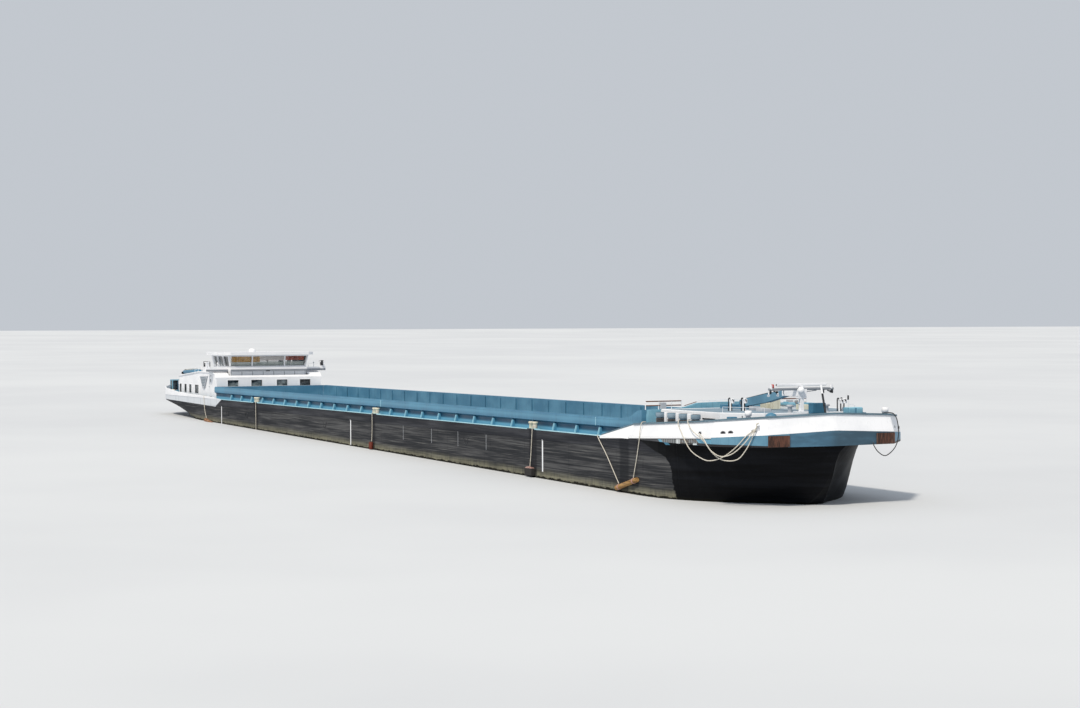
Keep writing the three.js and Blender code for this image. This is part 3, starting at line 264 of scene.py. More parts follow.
def bow_sides(new: Started, colour: Colour) -> Colour:
    """Paints the bow's sides: the mooring recess, the blue aft of the boards and the topsides' straight edge.

    Args:
        new: the material.
        colour: what lies under it.

    Returns:
        The colour with the recess's grating, its rollers and the black strip under it, and white above all.
    """
    aboard, _, up = new.axes()
    fwd = aboard + MIDSHIP * SCALE
    # Lines that rise 45 mm a metre, as the deck does here
    sheer = up - fwd * 0.045
    slant = fwd + up * RAKE
    side = sheer.between(0.11, 0.48)
    fading = slant.rise(8.5998, 8.6002) - slant.rise(9.04, 9.5)
    colour = (side * fading).mix(colour, "629DB9")
    inside = slant.between(86.35, 90.3) * side
    grating = fwd.wave(0.12 * SCALE).between(0.0, 0.035).mix("7C8184", "3C3E41")
    worn = new.patches((0.5, 0.5, 0.1), 5).rise(0.5, 0.62)
    colour = inside.mix(colour, worn.mix(grating, "5B5148"))
    colour = (inside * sheer.between(0.1, 0.21)).mix(colour, "101114")
    for start, stop in ((82.28, 82.42), (82.5, 82.6)):
        colour = (inside * fwd.between(start, stop)).mix(colour, "DCE4E8")
    colour = (fwd.between(84.0, 84.4) * sheer.between(0.12, 0.2)).mix(colour, "C9D3D8")
    # The topsides' lower edge runs straight, over the deck's step, with a painted shadow line under it
    crease = up - aboard * 0.0427
    forward = fwd.between(73.5, 86.0)
    colour = (forward * crease.between(2.035, 2.076)).mix(colour, "1B1E22")
    return (forward * crease.between(2.076, 9.0)).mix(colour, "EEF0F4")


@dataclass(frozen=True)
class BandPaint(MarinePaint):
    """The bow band's alkyd paint, with the recess and the black boot where the band meets the hull."""

    def zones(self, new: Started, colour: Colour) -> Colour:
        """Returns the colour with the shaded front, the recess on the outer sides and the black boot."""
        fwd, port, up = new.axes()
        beam = abs(port)
        mottled = new.patches((1.5, 1.5, 0.3), 5).rise(0.4, 0.65)
        # The front face lies in shade, deeper to port
        stem = fwd.rise((88.0 - MIDSHIP) * SCALE, (88.15 - MIDSHIP) * SCALE)
        colour = (stem * port.rise(-0.262, -0.258)).mix(colour, mottled.mix("3A5F76", "45708A"))
        colour = (stem * port.rise(-0.06, 0.02) * 0.9).mix(colour, mottled.mix("2F4B5C", "3B5B6E"))
        # Aft of its slanting edge the band is black
        aft = (fwd + up * RAKE).fall(5.249, 5.2505)
        marked = bow_sides(new, aft.mix(colour, mottled.mix("26282E", "45474D")))
        outer = beam.rise((HALF_BEAM - 0.012) * SCALE, (HALF_BEAM - 0.008) * SCALE)
        colour = outer.mix(colour, marked)
        # The boot's edge climbs 0.1 m from the stem to the shoulders
        boot = (up - beam * 0.022).between(3.0, 3.9) * fwd.between(51.04, 54.72)
        return boot.mix(colour, "15161B")


@dataclass(frozen=True)
class CoamingPaint(MarinePaint):
    """The coaming's alkyd paint with painted light and shade: bright fins, painted shade on the web under the
    box rail, painted sunlight on the web's foot at the deck and a painted highlight on the box's crown.
    """

    def zones(self, new: Started, colour: Colour) -> Colour:
        """Returns the colour with a painted highlight on the box's crown, painted shade on the web, painted
        sunlight on its foot, and the fins.
        """
        _, port, up = new.axes()
        beam = abs(port)
        outside = beam.rise(0.5052, 0.5056)
        # A painted highlight along the box's crown
        crown = up.rise(0.452, 0.472) * up.fall(0.474, 0.488)
        colour = (crown * outside * 0.3).mix(colour, "6FAAC6")
        # Painted shade on the web under the box, with painted sunlight on its lowest strip by the deck
        web = up.rise(0.403, 0.416).mix("5E9CB9", "1E4F6B")
        colour = (outside * up.fall(0.4448, 0.4456)).mix(colour, web)
        fins = beam.rise(0.5115, 0.512) * up.fall(0.434, 0.4345)
        colour = fins.mix(colour, "4F8DAB")
        # Only the fins' sloping outer flanges catch the sun
        flange = (beam + up * 0.265).rise(0.6355, 0.6365)
        return (fins * flange).mix(colour, "93C6D9")


@dataclass(frozen=True)
class HullCoat:
    """Tar-epoxy coat on shell plating: scoured grey along the locks' walls, green where it stays wet."""

    name: str
    tar: str = "2C2E32"
    scoured: str = "565759"
    pale: str = "7A7977"
    algae: str = "67665A"
    wet: str = "0E0F0B"
    # The tone of the painted shadow under the bow's flare
    flare_shadow_tone: str = "07080B"
    sheer: str = "282A30"
    topsides: str = "CDD3DA"
    topsides_low: str = "B2B9C2"

    def make(self) -> bpy.types.Material:
        """Returns the material, whose zones follow the waterline, the sheer strake, the bow with its painted
        shadow and the stern.
        """
        new = Started(self.name)
        fwd, _, up = new.axes()
        # Lock walls scour the plates in long level scratches, some 3.4 m by 70 mm
        scratch = new.patches((3.4, 3.4, 0.07), 7)
        broad = new.patches((9.0, 9.0, 0.55), 5)
        runs = new.patches((0.22, 0.22, 2.2), 5)
        colour = (scratch + broad * 0.7).rise(0.72, 1.08).mix(self.tar, self.scoured)
        colour = (scratch.rise(0.6, 0.74) * 0.55).mix(colour, self.pale)
        colour = (runs.rise(0.58, 0.76) * 0.4).mix(colour, "1C1D21")
        # Shell seams: level welds every 1.05 m, butts every 6 m
        seam = up.wave(1.05 * SCALE / 2).fall(0.0, 0.002).most(fwd.wave(6.0 * SCALE / 2).fall(0.0, 0.003))
        colour = (seam * 0.5).mix(colour, "1A1B1F")
        # The sheer strake keeps more of its paint
        strake = up.rise((DECK - 0.62) * SCALE, (DECK - 0.56) * SCALE)
        colour = (strake * 0.8).mix(colour, broad.rise(0.45, 0.7).mix(self.sheer, "43454B"))
        # Height over the waterline, with a wavering edge
        afloat = put(new.tree, "VectorMath", {"operation": "DOT_PRODUCT"}, i0=new.where, i1=(TRIM, 0.0, 1.0))
        level = Field(afloat.outputs["Value"]) - (WATERLINE - TRIM * MIDSHIP) * SCALE
        weed = (level - new.patches((1.3, 1.3, 0.8), 5) * 0.03).fall(-0.012, 0.05)
        dried = (scratch + runs).rise(0.78, 1.18).mix(self.algae, "8A8874")
        colour = (weed * 0.85).mix(colour, dried)
        # Dark uprights run down the side under the fenders' ropes
        for centre, half in ((10.43, 0.055), (37.82, 0.05), (64.73, 0.055), (76.4, 0.06)):
            off = abs(fwd - (centre - MIDSHIP) * SCALE) + runs * 0.05
            colour = (off.fall(half + 0.005, half + 0.035) * 0.65).mix(colour, "1D1F24")
        # Painted shadow under the bow's flare: near black forward of an edge that runs down and forward, flat
        # at first and then steep
        rough = new.patches((0.8, 0.8, 0.5), 4) * 0.06
        flat, steep = fwd + up * 3.13 + rough, fwd + up * 0.25 + rough
        black = flat.rise(5.713, 5.719).most(steep.rise(4.828, 4.834))
        colour = black.mix(colour, broad.rise(0.4, 0.72).mix(self.flare_shadow_tone, "14161B"))
        fringe = new.patches((0.45, 0.45, 0.3), 6) * 0.034
        colour = ((level - fringe).fall(-0.007, -0.002) * 0.95).mix(colour, self.wet)
        white = runs.rise(0.5, 0.75).mix(self.topsides, self.topsides_low)
        colour = self.stern(new, fwd, up).mix(colour, white)
        new.link("Base Color", bow_sides(new, colour))
        new.hold(Specular_IOR_Level=0.08)
        # Roughness is lower inside the painted shadow's zone
        new.link("Roughness", black.spread(0.75, 0.5))
        new.bump(scratch * 0.4 + seam * 0.6, 0.02)
        return new.material

    def stern(self, new: Started, fwd: Field, up: Field) -> Field:
        """Returns 1 on the white topsides aft of the hold, down to a line that rises to the stern."""
        ends = {"From_Min": (STERN - MIDSHIP) * SCALE, "From_Max": (-3.1 - MIDSHIP) * SCALE}
        heights = {"To_Min": 3.51 * SCALE, "To_Max": 3.26 * SCALE}
        line = put(new.tree, "MapRange", {"clamp": False}, Value=fwd, **ends, **heights)
        above = (up - Field(line.outputs[0])).rise(-0.0004, 0.0004)
        return above * (fwd + up * -2.9).fall(-4.446, -4.442)


@dataclass(frozen=True)
class SawnTimber:
    """Sawn or round timber: grain runs along the piece, the fibres grey and split in the weather."""

    name: str
    colour: str
    grain: str
    run: Point = (0.9, 0.06, 0.06)
    bleached: str = "A89C8C"

    def make(self) -> bpy.types.Material:
        """Returns the material."""
        new = Started(self.name)
        fibre = new.patches(self.run, 8)
        split = new.patches(tuple(3 * length for length in self.run)).rise(0.54, 0.7)
        colour = fibre.rise(0.4, 0.62).mix(self.colour, self.grain)
        new.link("Base Color", (split * 0.5).mix(colour, self.bleached))
        new.hold(Roughness=0.85)
        new.bump(fibre, 0.03)
        return new.material


@dataclass(frozen=True)
class LaidFibre:
    """Three-strand fibre rope: fuzzy yarns, clean on the strands' crowns and dirty between them."""

    name: str
    colour: str
    dirt: str

    def make(self) -> bpy.types.Material:
        """Returns the material."""
        new = Started(self.name)
        # Yarns are about 4 mm on the ship, drawn as 20 mm so that they show
        yarn = new.patches((0.02, 0.02, 0.02), 3)
        new.link("Base Color", yarn.rise(0.4, 0.7).mix(self.dirt, self.colour))
        new.hold(Roughness=0.9, Sheen_Weight=0.3)
        new.bump(yarn, 0.006)
        return new.material


@dataclass(frozen=True)
class WindowPane:
    """Float glass with a light tint: smooth, a little of the room behind it shows."""

    name: str
    tint: str
    see_through: float = 0.6

    def make(self) -> bpy.types.Material:
        """Returns the material."""
        new = Started(self.name)
        film = new.patches((0.8, 0.8, 0.5)).rise(0.4, 0.8)
        new.link("Base Color", film.mix(self.tint, "9AA6AA"))
        new.hold(Roughness=0.06, IOR=1.45, Alpha=1.0 - self.see_through)
        return new.material


@dataclass(frozen=True)
class BareMetal:
    """Cast, galvanised or polished metal with a dull film that breaks at the touched places."""

    name: str
    colour: str
    film: str
    roughness: float = 0.4
    metallic: float = 0.9

    def make(self) -> bpy.types.Material:
        """Returns the material."""
        new = Started(self.name)
        dull = new.patches((0.35, 0.35, 0.35), 6).rise(0.42, 0.66)
        new.link("Base Color", dull.mix(self.colour, self.film))
        new.hold(Metallic=self.metallic)
        new.link("Roughness", dull.spread(self.roughness, min(1.0, self.roughness + 0.3)))
        new.bump(new.patches((0.05, 0.05, 0.05), 4), 0.004)
        return new.material


class Finish(Enum):
    """The barge's finishes, each made once."""

    HULL = HullCoat("tar_epoxy_hull")
    TEAL = MarinePaint("teal_alkyd", "3B7190", "5286A3", "214B60", 0.42, 0.35)
    TEAL_DARK = MarinePaint("teal_alkyd_shaded", "265A75", "37708D", "173D50", 0.5, 0.4)
    SIDE_DECK = MarinePaint("pale_blue_deck_paint", "659FB8", "82B4C8", "47788D", 0.6, 0.3, 0.25)
    TRUNK_DECK = MarinePaint("grey_blue_deck_paint", "768C9C", "8A9EAD", "53667A", 0.6, 0.3, 0.25)
    EDGE = MarinePaint("deck_edge_paint", "9CCBDB", "B4DAE6", "6A94A4", 0.5, 0.3, 0.2)
    BOW_BLUE = MarinePaint("bow_band_blue", "4E7C96", "6391AA", "34607A", 0.4, 0.3)
    BAND = BandPaint("bow_band_and_recess", "4E7C96", "6391AA", "34607A", 0.4, 0.3)
    RAIL = MarinePaint("cap_rail_slate", "4E6674", "637D8C", "33444F", 0.5, 0.3)
    WHITE = MarinePaint("white_gloss_alkyd", "F2F4F8", "E6E9EE", "B9BDC3", 0.25, 0.12, 0.06)
    CREAM = MarinePaint("cream_alkyd", "D0CDB8", "DEDBC8", "8C8570", 0.45, 0.4, 0.3)
    COAMING = CoamingPaint("coaming_alkyd", "3B7190", "5286A3", "214B60", 0.42, 0.35)
    RUST = MarinePaint("rusted_rail_paint", "5C3B2D", "7A5343", "2F1F18", 0.7, 0.3, 0.5)
    FASCIA = MarinePaint("shaded_grey_alkyd", "7E848D", "8F959D", "5E646C", 0.5, 0.3)
    SHADE_CLOTH = MarinePaint("pale_blind_cloth", "E2DAD7", "ECE6E3", "A8A2A0", 0.8, 0.2)
    LINING = MarinePaint("grey_green_lining", "C8D2CC", "D4DCD7", "9AA59F", 0.6, 0.2)
    GREY = MarinePaint("grey_alkyd", "A9AEB6", "BBC0C7", "7C8289", 0.45, 0.3)
    BLACK = MarinePaint("black_bitumen", "14151A", "22242B", "0A0B0D", 0.5, 0.3)
    FLOOR = MarinePaint("worn_hold_plate", "6A5242", "7D6A5C", "3D2F27", 0.75, 0.3, 0.6, 0.2)
    RED = MarinePaint("red_lamp_enamel", "A3231F", "B43A30", "6E1512", 0.3, 0.1)
    GREEN = MarinePaint("green_lamp_enamel", "1F6B45", "2F7C55", "114029", 0.3, 0.1)
    BOARD = SawnTimber("tarred_softwood_board", "5A382B", "2A1B16", (0.09, 0.09, 0.5), "7A6054")
    LOG = SawnTimber("barked_log", "A98450", "7B5A33", (0.8, 0.09, 0.09))
    BUNDLE = SawnTimber("weathered_hardwood", "8F6B3A", "54291C", (0.07, 0.07, 0.5))
    GOLDEN_SLAT = SawnTimber("varnished_joinery", "E0A83A", "B47F1E", (0.08, 0.08, 0.8), "C8953A")
    MAHOGANY = SawnTimber("stained_joinery", "6E2E20", "4A1C12", (0.08, 0.08, 0.8), "8A5A48")
    RED_SLAT = SawnTimber("red_brown_slats", "C9603F", "98402A", (0.08, 0.08, 0.8), "B5614A")
    RUBBER = MarinePaint("moulded_rubber", "1C1B1C", "2B2A2A", "100F10", 0.85, 0.2)
    ROPE = LaidFibre("pale_polyamide_rope", "E9E6DE", "B4AEA0")
    # A dark grey rope fibre, used for the port bow rope
    DARK_ROPE = LaidFibre("dark_grey_rope", "2A2C31", "131417")
    WINDING = LaidFibre("grey_winding_rope", "55565A", "26272B")
    LASHING = LaidFibre("faded_red_lashing", "C99E94", "8E6A62")
    PANE = WindowPane("wheelhouse_glass", "2B3437", 0.86)
    DARK_PANE = WindowPane("cabin_glass", "1C262C", 0.1)
    BRONZE = BareMetal("cast_bronze", "B08A4C", "6C5A38", 0.32)
    IRON = BareMetal("painted_cast_iron", "3A3D42", "26282C", 0.5, 0.6)
    ZINC = BareMetal("galvanised_steel", "A4A9AD", "7E8488", 0.45, 0.8)

    def material(self) -> bpy.types.Material:
        """Returns the finish's material, made the first time it is asked for."""
        return bpy.data.materials.get(self.value.name) or self.value.make()

    def slot(self) -> str:
        """Returns the record's material slot that the finish usually belongs to."""
        return next((slot for slot, names in SLOTS.items() if self.name in names.split()), "white_paint")


# The record's material slots, with the finishes that belong to each; all others are white paint
SLOTS = {
    "hull": "HULL",
    "teal_paint": "TEAL TEAL_DARK",
    "blue_deck_paint": "SIDE_DECK TRUNK_DECK EDGE",
    "rail_paint": "RAIL",
    "black_paint": "BLACK",
    "iron": "IRON ZINC RUST",
    "window_glass": "DARK_PANE",
    "timber": "GOLDEN_SLAT MAHOGANY RED_SLAT",
    "rope": "ROPE DARK_ROPE WINDING LASHING",
    "fender_rubber": "RUBBER",
}


def ring(centre: Vector, first: Vector, second: Vector, radius: float, count: int) -> list[Vector]:
    """Returns count points round centre, in the plane of two unit vectors."""
    turns = [2 * math.pi * k / count for k in range(count)]
    return [centre + (first * math.cos(turn) + second * math.sin(turn)) * radius for turn in turns]


class Shape:
    """Gathers the faces of one piece, in the real ship's metres."""

    def __init__(self) -> None:
        """Starts with no faces."""
        self.mesh = bmesh.new()

    def add(self, corners: list[Vector], faces: list[tuple[int, ...]], smooth: bool = False) -> list:
        """Adds faces over corners and returns the corners made."""
        made = [self.mesh.verts.new(corner) for corner in corners]
        for face in faces:
            new = self.mesh.faces.new([made[i] for i in face])
            new.smooth = smooth
        return made

    def box(self, fwd: Range, port: Range, up: Range, chamfer: float = 0.0) -> "Shape":
        """Adds a box between three ranges, its edges broken by chamfer."""
        corners = [Vector((x, y, z)) for x in sorted(fwd) for y in sorted(port) for z in sorted(up)]
        faces = [(0, 1, 3, 2), (4, 6, 7, 5), (0, 4, 5, 1), (2, 3, 7, 6), (0, 2, 6, 4), (1, 5, 7, 3)]
        made = self.add(corners, faces)
        if chamfer:
            edges = {edge for vert in made for edge in vert.link_edges}
            how = {"offset": chamfer, "segments": 2, "affect": "EDGES", "profile": 0.6}
            bmesh.ops.bevel(self.mesh, geom=list(edges), **how)
        return self

    def prism(self, outline: list[Range], axis: int, low: float, high: float) -> "Shape":
        """Adds a flat outline pushed along axis 0, 1 or 2; its columns are the other two axes in order."""
        count = len(outline)
        corners = [Vector((*pair[:axis], depth, *pair[axis:])) for depth in (low, high) for pair in outline]
        sides = [(i, (i + 1) % count, (i + 1) % count + count, i + count) for i in range(count)]
        self.add(corners, [tuple(range(count))[::-1], tuple(range(count, 2 * count)), *sides])
        return self

    def tube(self, points: list[Point], radius: float, sides: int = 8, end: float | None = None) -> "Shape":
        """Adds a round bar along points, its ends flat.

        Args:
            points: where its middle goes.
            radius: at the first point.
            sides: of its cross-section.
            end: the radius at the last point, the same as radius unless given.
        """
        spots = [Vector(point) for point in points]
        last = radius if end is None else end
        normal = None
        corners = []
        for i, spot in enumerate(spots):
            ahead = (spots[min(i + 1, len(spots) - 1)] - spots[max(i - 1, 0)]).normalized()
            if normal is None:
                normal = ahead.orthogonal().normalized()
            normal = (normal - ahead * normal.dot(ahead)).normalized()
            cross = ahead.cross(normal)
            size = radius + (last - radius) * i / (len(spots) - 1)
            corners += ring(spot, normal, cross, size, sides)
        self.skin(corners, sides)
        return self

    def skin(self, corners: list[Vector], count: int) -> None:
        """Adds smooth faces between rings of count corners, with sharp flat caps."""
        rings = len(corners) // count
        faces = [
            (r * count + k, r * count + (k + 1) % count, (r + 1) * count + (k + 1) % count, (r + 1) * count + k)
            for r in range(rings - 1)
            for k in range(count)
        ]
        made = self.add(corners, faces, True)
        for cap in (made[:count][::-1], made[-count:]):
            for edge in self.mesh.faces.new(cap).edges:
                edge.smooth = False

    def turn(self, profile: list[Range], centre: Point, axis: Vector | Point, sides: int = 16) -> "Shape":
        """Adds a turned form: profile rows are the distance along axis from centre and the radius there."""
        way = Vector(axis).normalized()
        side = way.orthogonal().normalized()
        cross = way.cross(side)
        corners = []
        for reach, radius in profile:
            corners += ring(Vector(centre) + way * reach, side, cross, max(radius, 0.002), sides)
        self.skin(corners, sides)
        return self

    def ball(self, centre: Point, radius: float, squash: float = 1.0) -> "Shape":
        """Adds a ball, flattened along up by squash."""
        rows = [(math.pi * i / 10 - math.pi / 2) for i in range(11)]
        return self.turn([(math.sin(a) * radius * squash, math.cos(a) * radius) for a in rows], centre, UP)

    def railing(self, points: list[Point], height: float, radius: float = 0.025, bars: int = 2) -> "Shape":
        """Adds posts at points with bars between them, the top bar at height."""
        for point in points:
            foot = Vector(point)
            self.tube([foot, foot + Vector((0, 0, height))], radius, 6)
        for bar in range(bars):
            lift = Vector((0, 0, height * (bar + 1) / bars))
            self.tube([Vector(point) + lift for point in points], radius * 0.8, 6)
        return self

    def piece(self, name: str, finish: Finish, body: str = "hull", slot: str | None = None) -> bpy.types.Object:
        """Makes the piece's object at the model's size, riding on a body.

        Args:
            name: the piece's name.
            finish: what covers it.
            body: the CAD body it moves with.
            slot: not used; the record's material slot, if it isn't the finish's usual one.

        Returns:
            The new object.
        """
        for vert in self.mesh.verts:
            vert.co = place(*vert.co)
        bmesh.ops.recalc_face_normals(self.mesh, faces=self.mesh.faces)
        data = bpy.data.meshes.new(name)
        self.mesh.to_mesh(data)
        self.mesh.free()
        made = bpy.data.objects.new(name, data)
        bpy.context.scene.collection.objects.link(made)
        data.materials.append(finish.material())
        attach(made, body)
        log.info("%s: %d faces", name, len(data.polygons))
        return made


def dress(finish: Finish, *nodes: str) -> None:
    """Gives CAD nodes their finish."""
    for name in nodes:
        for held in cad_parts[name].material_slots:
            held.material = finish.material()


# Camera, floor and light


@dataclass
class Studio:
    """The camera at the photograph's viewpoint, a floor at the waterline and soft light."""

    eye: Point = (175.7, -57.725, 9.71)
    view: Point = (-0.9039, 0.4277, -0.0107)
    lens: float = 68.67
    sensor: float = 36.0
    floor_half: float = 90.0
    floor_colour: str = "C9CDD2"
    sky: str = "E4EAF2"
    sky_strength: float = 0.7
    sun: str = "FFF4E4"
    sun_strength: float = 2.9
    sun_from: Point = (0.38, -0.5, 0.78)

    def build(self) -> None:
        """Makes the camera, the floor and the lights."""
        self.camera()
        self.floor()
        self.lights()

    def camera(self) -> None:
        """Sets the camera level with the floor, which the trimmed hull leans from."""
        data = bpy.data.cameras.new("camera")
        data.lens = self.lens
        data.sensor_width = self.sensor
        data.clip_end = 500.0
        made = bpy.data.objects.new("camera", data)
        bpy.context.scene.collection.objects.link(made)
        back = -Vector(self.view).normalized()
        right = Vector((TRIM, 0.0, 1.0)).cross(back).normalized()
        turned = Matrix((right, back.cross(right), back)).transposed().to_4x4()
        made.matrix_world = Matrix.Translation(place(*self.eye)) @ turned
        bpy.context.scene.camera = made

    def floor(self) -> None:
        """Lays the floor in the waterline's plane."""
        level = (WATERLINE - TRIM * MIDSHIP) * SCALE
        quarters = ((-1, -1), (1, -1), (1, 1), (-1, 1))
        spots = [(x * self.floor_half, y * self.floor_half) for x, y in quarters]
        corners = [(x, y, level - TRIM * x) for x, y in spots]
        data = bpy.data.meshes.new("floor")
        data.from_pydata(corners, [], [(0, 1, 2, 3)])
        made = bpy.data.objects.new("floor", data)
        bpy.context.scene.collection.objects.link(made)
        new = Started("studio_floor")
        new.link("Base Color", new.patches((60.0, 60.0, 60.0)).rise(0.3, 0.7).mix(self.floor_colour, "D2D6DA"))
        new.hold(Roughness=0.8)
        data.materials.append(new.material)

    def lights(self) -> None:
        """Sets a pale sky and one soft sun high over the starboard bow, shown without a film curve."""
        bpy.context.scene.view_settings.view_transform = "Standard"
        world = bpy.data.worlds.new("studio")
        bpy.context.scene.world = world
        world.use_nodes = True
        ground = world.node_tree.nodes["Background"]
        ground.inputs["Color"].default_value = linear(self.sky)
        ground.inputs["Strength"].default_value = self.sky_strength
        data = bpy.data.lights.new("sun", "SUN")
        data.energy = self.sun_strength
        data.angle = math.radians(6)
        data.color = linear(self.sun)[:3]
        made = bpy.data.objects.new("sun", data)
        bpy.context.scene.collection.objects.link(made)
        made.rotation_euler = Vector(self.sun_from).to_track_quat("Z", "Y").to_euler()


# Ropes and fenders


def curve_points(points: list[Point], count: int) -> list[Vector]:
    """Returns count points along the smooth curve that the CAD's rope follows.

    Args:
        points: what the centripetal curve passes through.
        count: how many points, spread evenly over its length.
    """
    spots = [Vector(point) for point in points]
    spots = [spots[0] * 2 - spots[1], *spots, spots[-1] * 2 - spots[-2]]
    fine: list[Vector] = []
    steps = 24
    for i in range(1, len(spots) - 2):
        p0, p1, p2, p3 = spots[i - 1 : i + 3]
        gaps = [max((b - a).length ** 0.5, 1e-4) for a, b in ((p0, p1), (p1, p2), (p2, p3))]
        start = ((p1 - p0) / gaps[0] - (p2 - p0) / (gaps[0] + gaps[1]) + (p2 - p1) / gaps[1]) * gaps[1]
        stop = ((p2 - p1) / gaps[1] - (p3 - p1) / (gaps[1] + gaps[2]) + (p3 - p2) / gaps[2]) * gaps[1]
        for k in range(steps + (i == len(spots) - 3)):
            t = k / steps
            fine.append(
                p1 * (2 * t**3 - 3 * t**2 + 1)
                + start * (t**3 - 2 * t**2 + t)
                + p2 * (3 * t**2 - 2 * t**3)
                + stop * (t**3 - t**2)
            )
    reach = [0.0]
    for a, b in zip(fine, fine[1:]):
        reach.append(reach[-1] + (b - a).length)
    found = []
    at = 0
    for k in range(count):
        goal = reach[-1] * k / (count - 1)
        while at < len(reach) - 2 and reach[at + 1] < goal:
            at += 1
        share = (goal - reach[at]) / (reach[at + 1] - reach[at])
        found.append(fine[at].lerp(fine[at + 1], share))
    return found


class FarEnd(Enum):
    """What a rope's far end is."""

    OBJECT = "object"
    FITTING = "fitting"
    KNOT = "knot"


@dataclass
class Rope:
    """One free mooring or fender rope; its strands' pattern repeats after a number of rings."""

    name: str
    thick: float
    finish: Finish
    points: list[Point]
    far_end: FarEnd = FarEnd.OBJECT
    on_it: list[bpy.types.Object | str] = field(default_factory=list)
    lay: str = "hanging"
    sides: int = 9
    strands: int = 3
    repeat: int = 9
    groove: float = 0.13

    def build(self) -> None:
        rough = curve_points(self.points, 40)
        length = sum((b - a).length for a, b in zip(rough, rough[1:]))
        rings = max(40, int(length / (0.8 * self.thick)))
        path = curve_points(self.points, rings)
        shape = Shape()
        corners = []
        normal = None
        for i, spot in enumerate(path):
            ahead = (path[min(i + 1, rings - 1)] - path[max(i - 1, 0)]).normalized()
            normal = normal or ahead.orthogonal()
            normal = (normal - ahead * normal.dot(ahead)).normalized()
            cross = ahead.cross(normal)
            twist = 2 * math.pi * i / self.repeat
            for k in range(self.sides):
                turn = 2 * math.pi * k / self.sides
                size = self.thick / 2 * (1 - self.groove * (0.5 - 0.5 * math.cos(self.strands * turn)))
                angle = turn + twist / self.strands
                corners.append(spot + (normal * math.cos(angle) + cross * math.sin(angle)) * size)
        shape.skin(corners, self.sides)
        made = shape.piece(self.name.replace("rope_", "laid_"), self.finish)
        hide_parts(self.name)
        measured = [place(*spot) for spot in path]
        self.thick * SCALE


PEG_AT = (87.74, -4.11)


def peg_point(reach: float, beside: float, up: float) -> Point:
    """Returns a point by the peg: reach along it and beside it, aft."""
    return (PEG_AT[0] + 0.678 * reach - 0.735 * beside, PEG_AT[1] - 0.735 * reach - 0.678 * beside, up)


def over_peg(reach: float) -> list[Point]:
    """Returns a rope's last points, up beside the peg and over it."""
    rows = ((0.082, 4.92), (0.08, 5.03), (0.045, 5.105), (-0.02, 5.115))
    return [peg_point(reach, beside, up) for beside, up in rows]


def from_bollard(fwd: float) -> list[Point]:
    """Returns a rope's first points, tied to a side bollard's post and over the deck's edge."""
    return [(fwd, -5.704, 4.2), (fwd, -5.71, 4.08), (fwd, -5.752, 3.98), (fwd, -5.757, 3.87)]


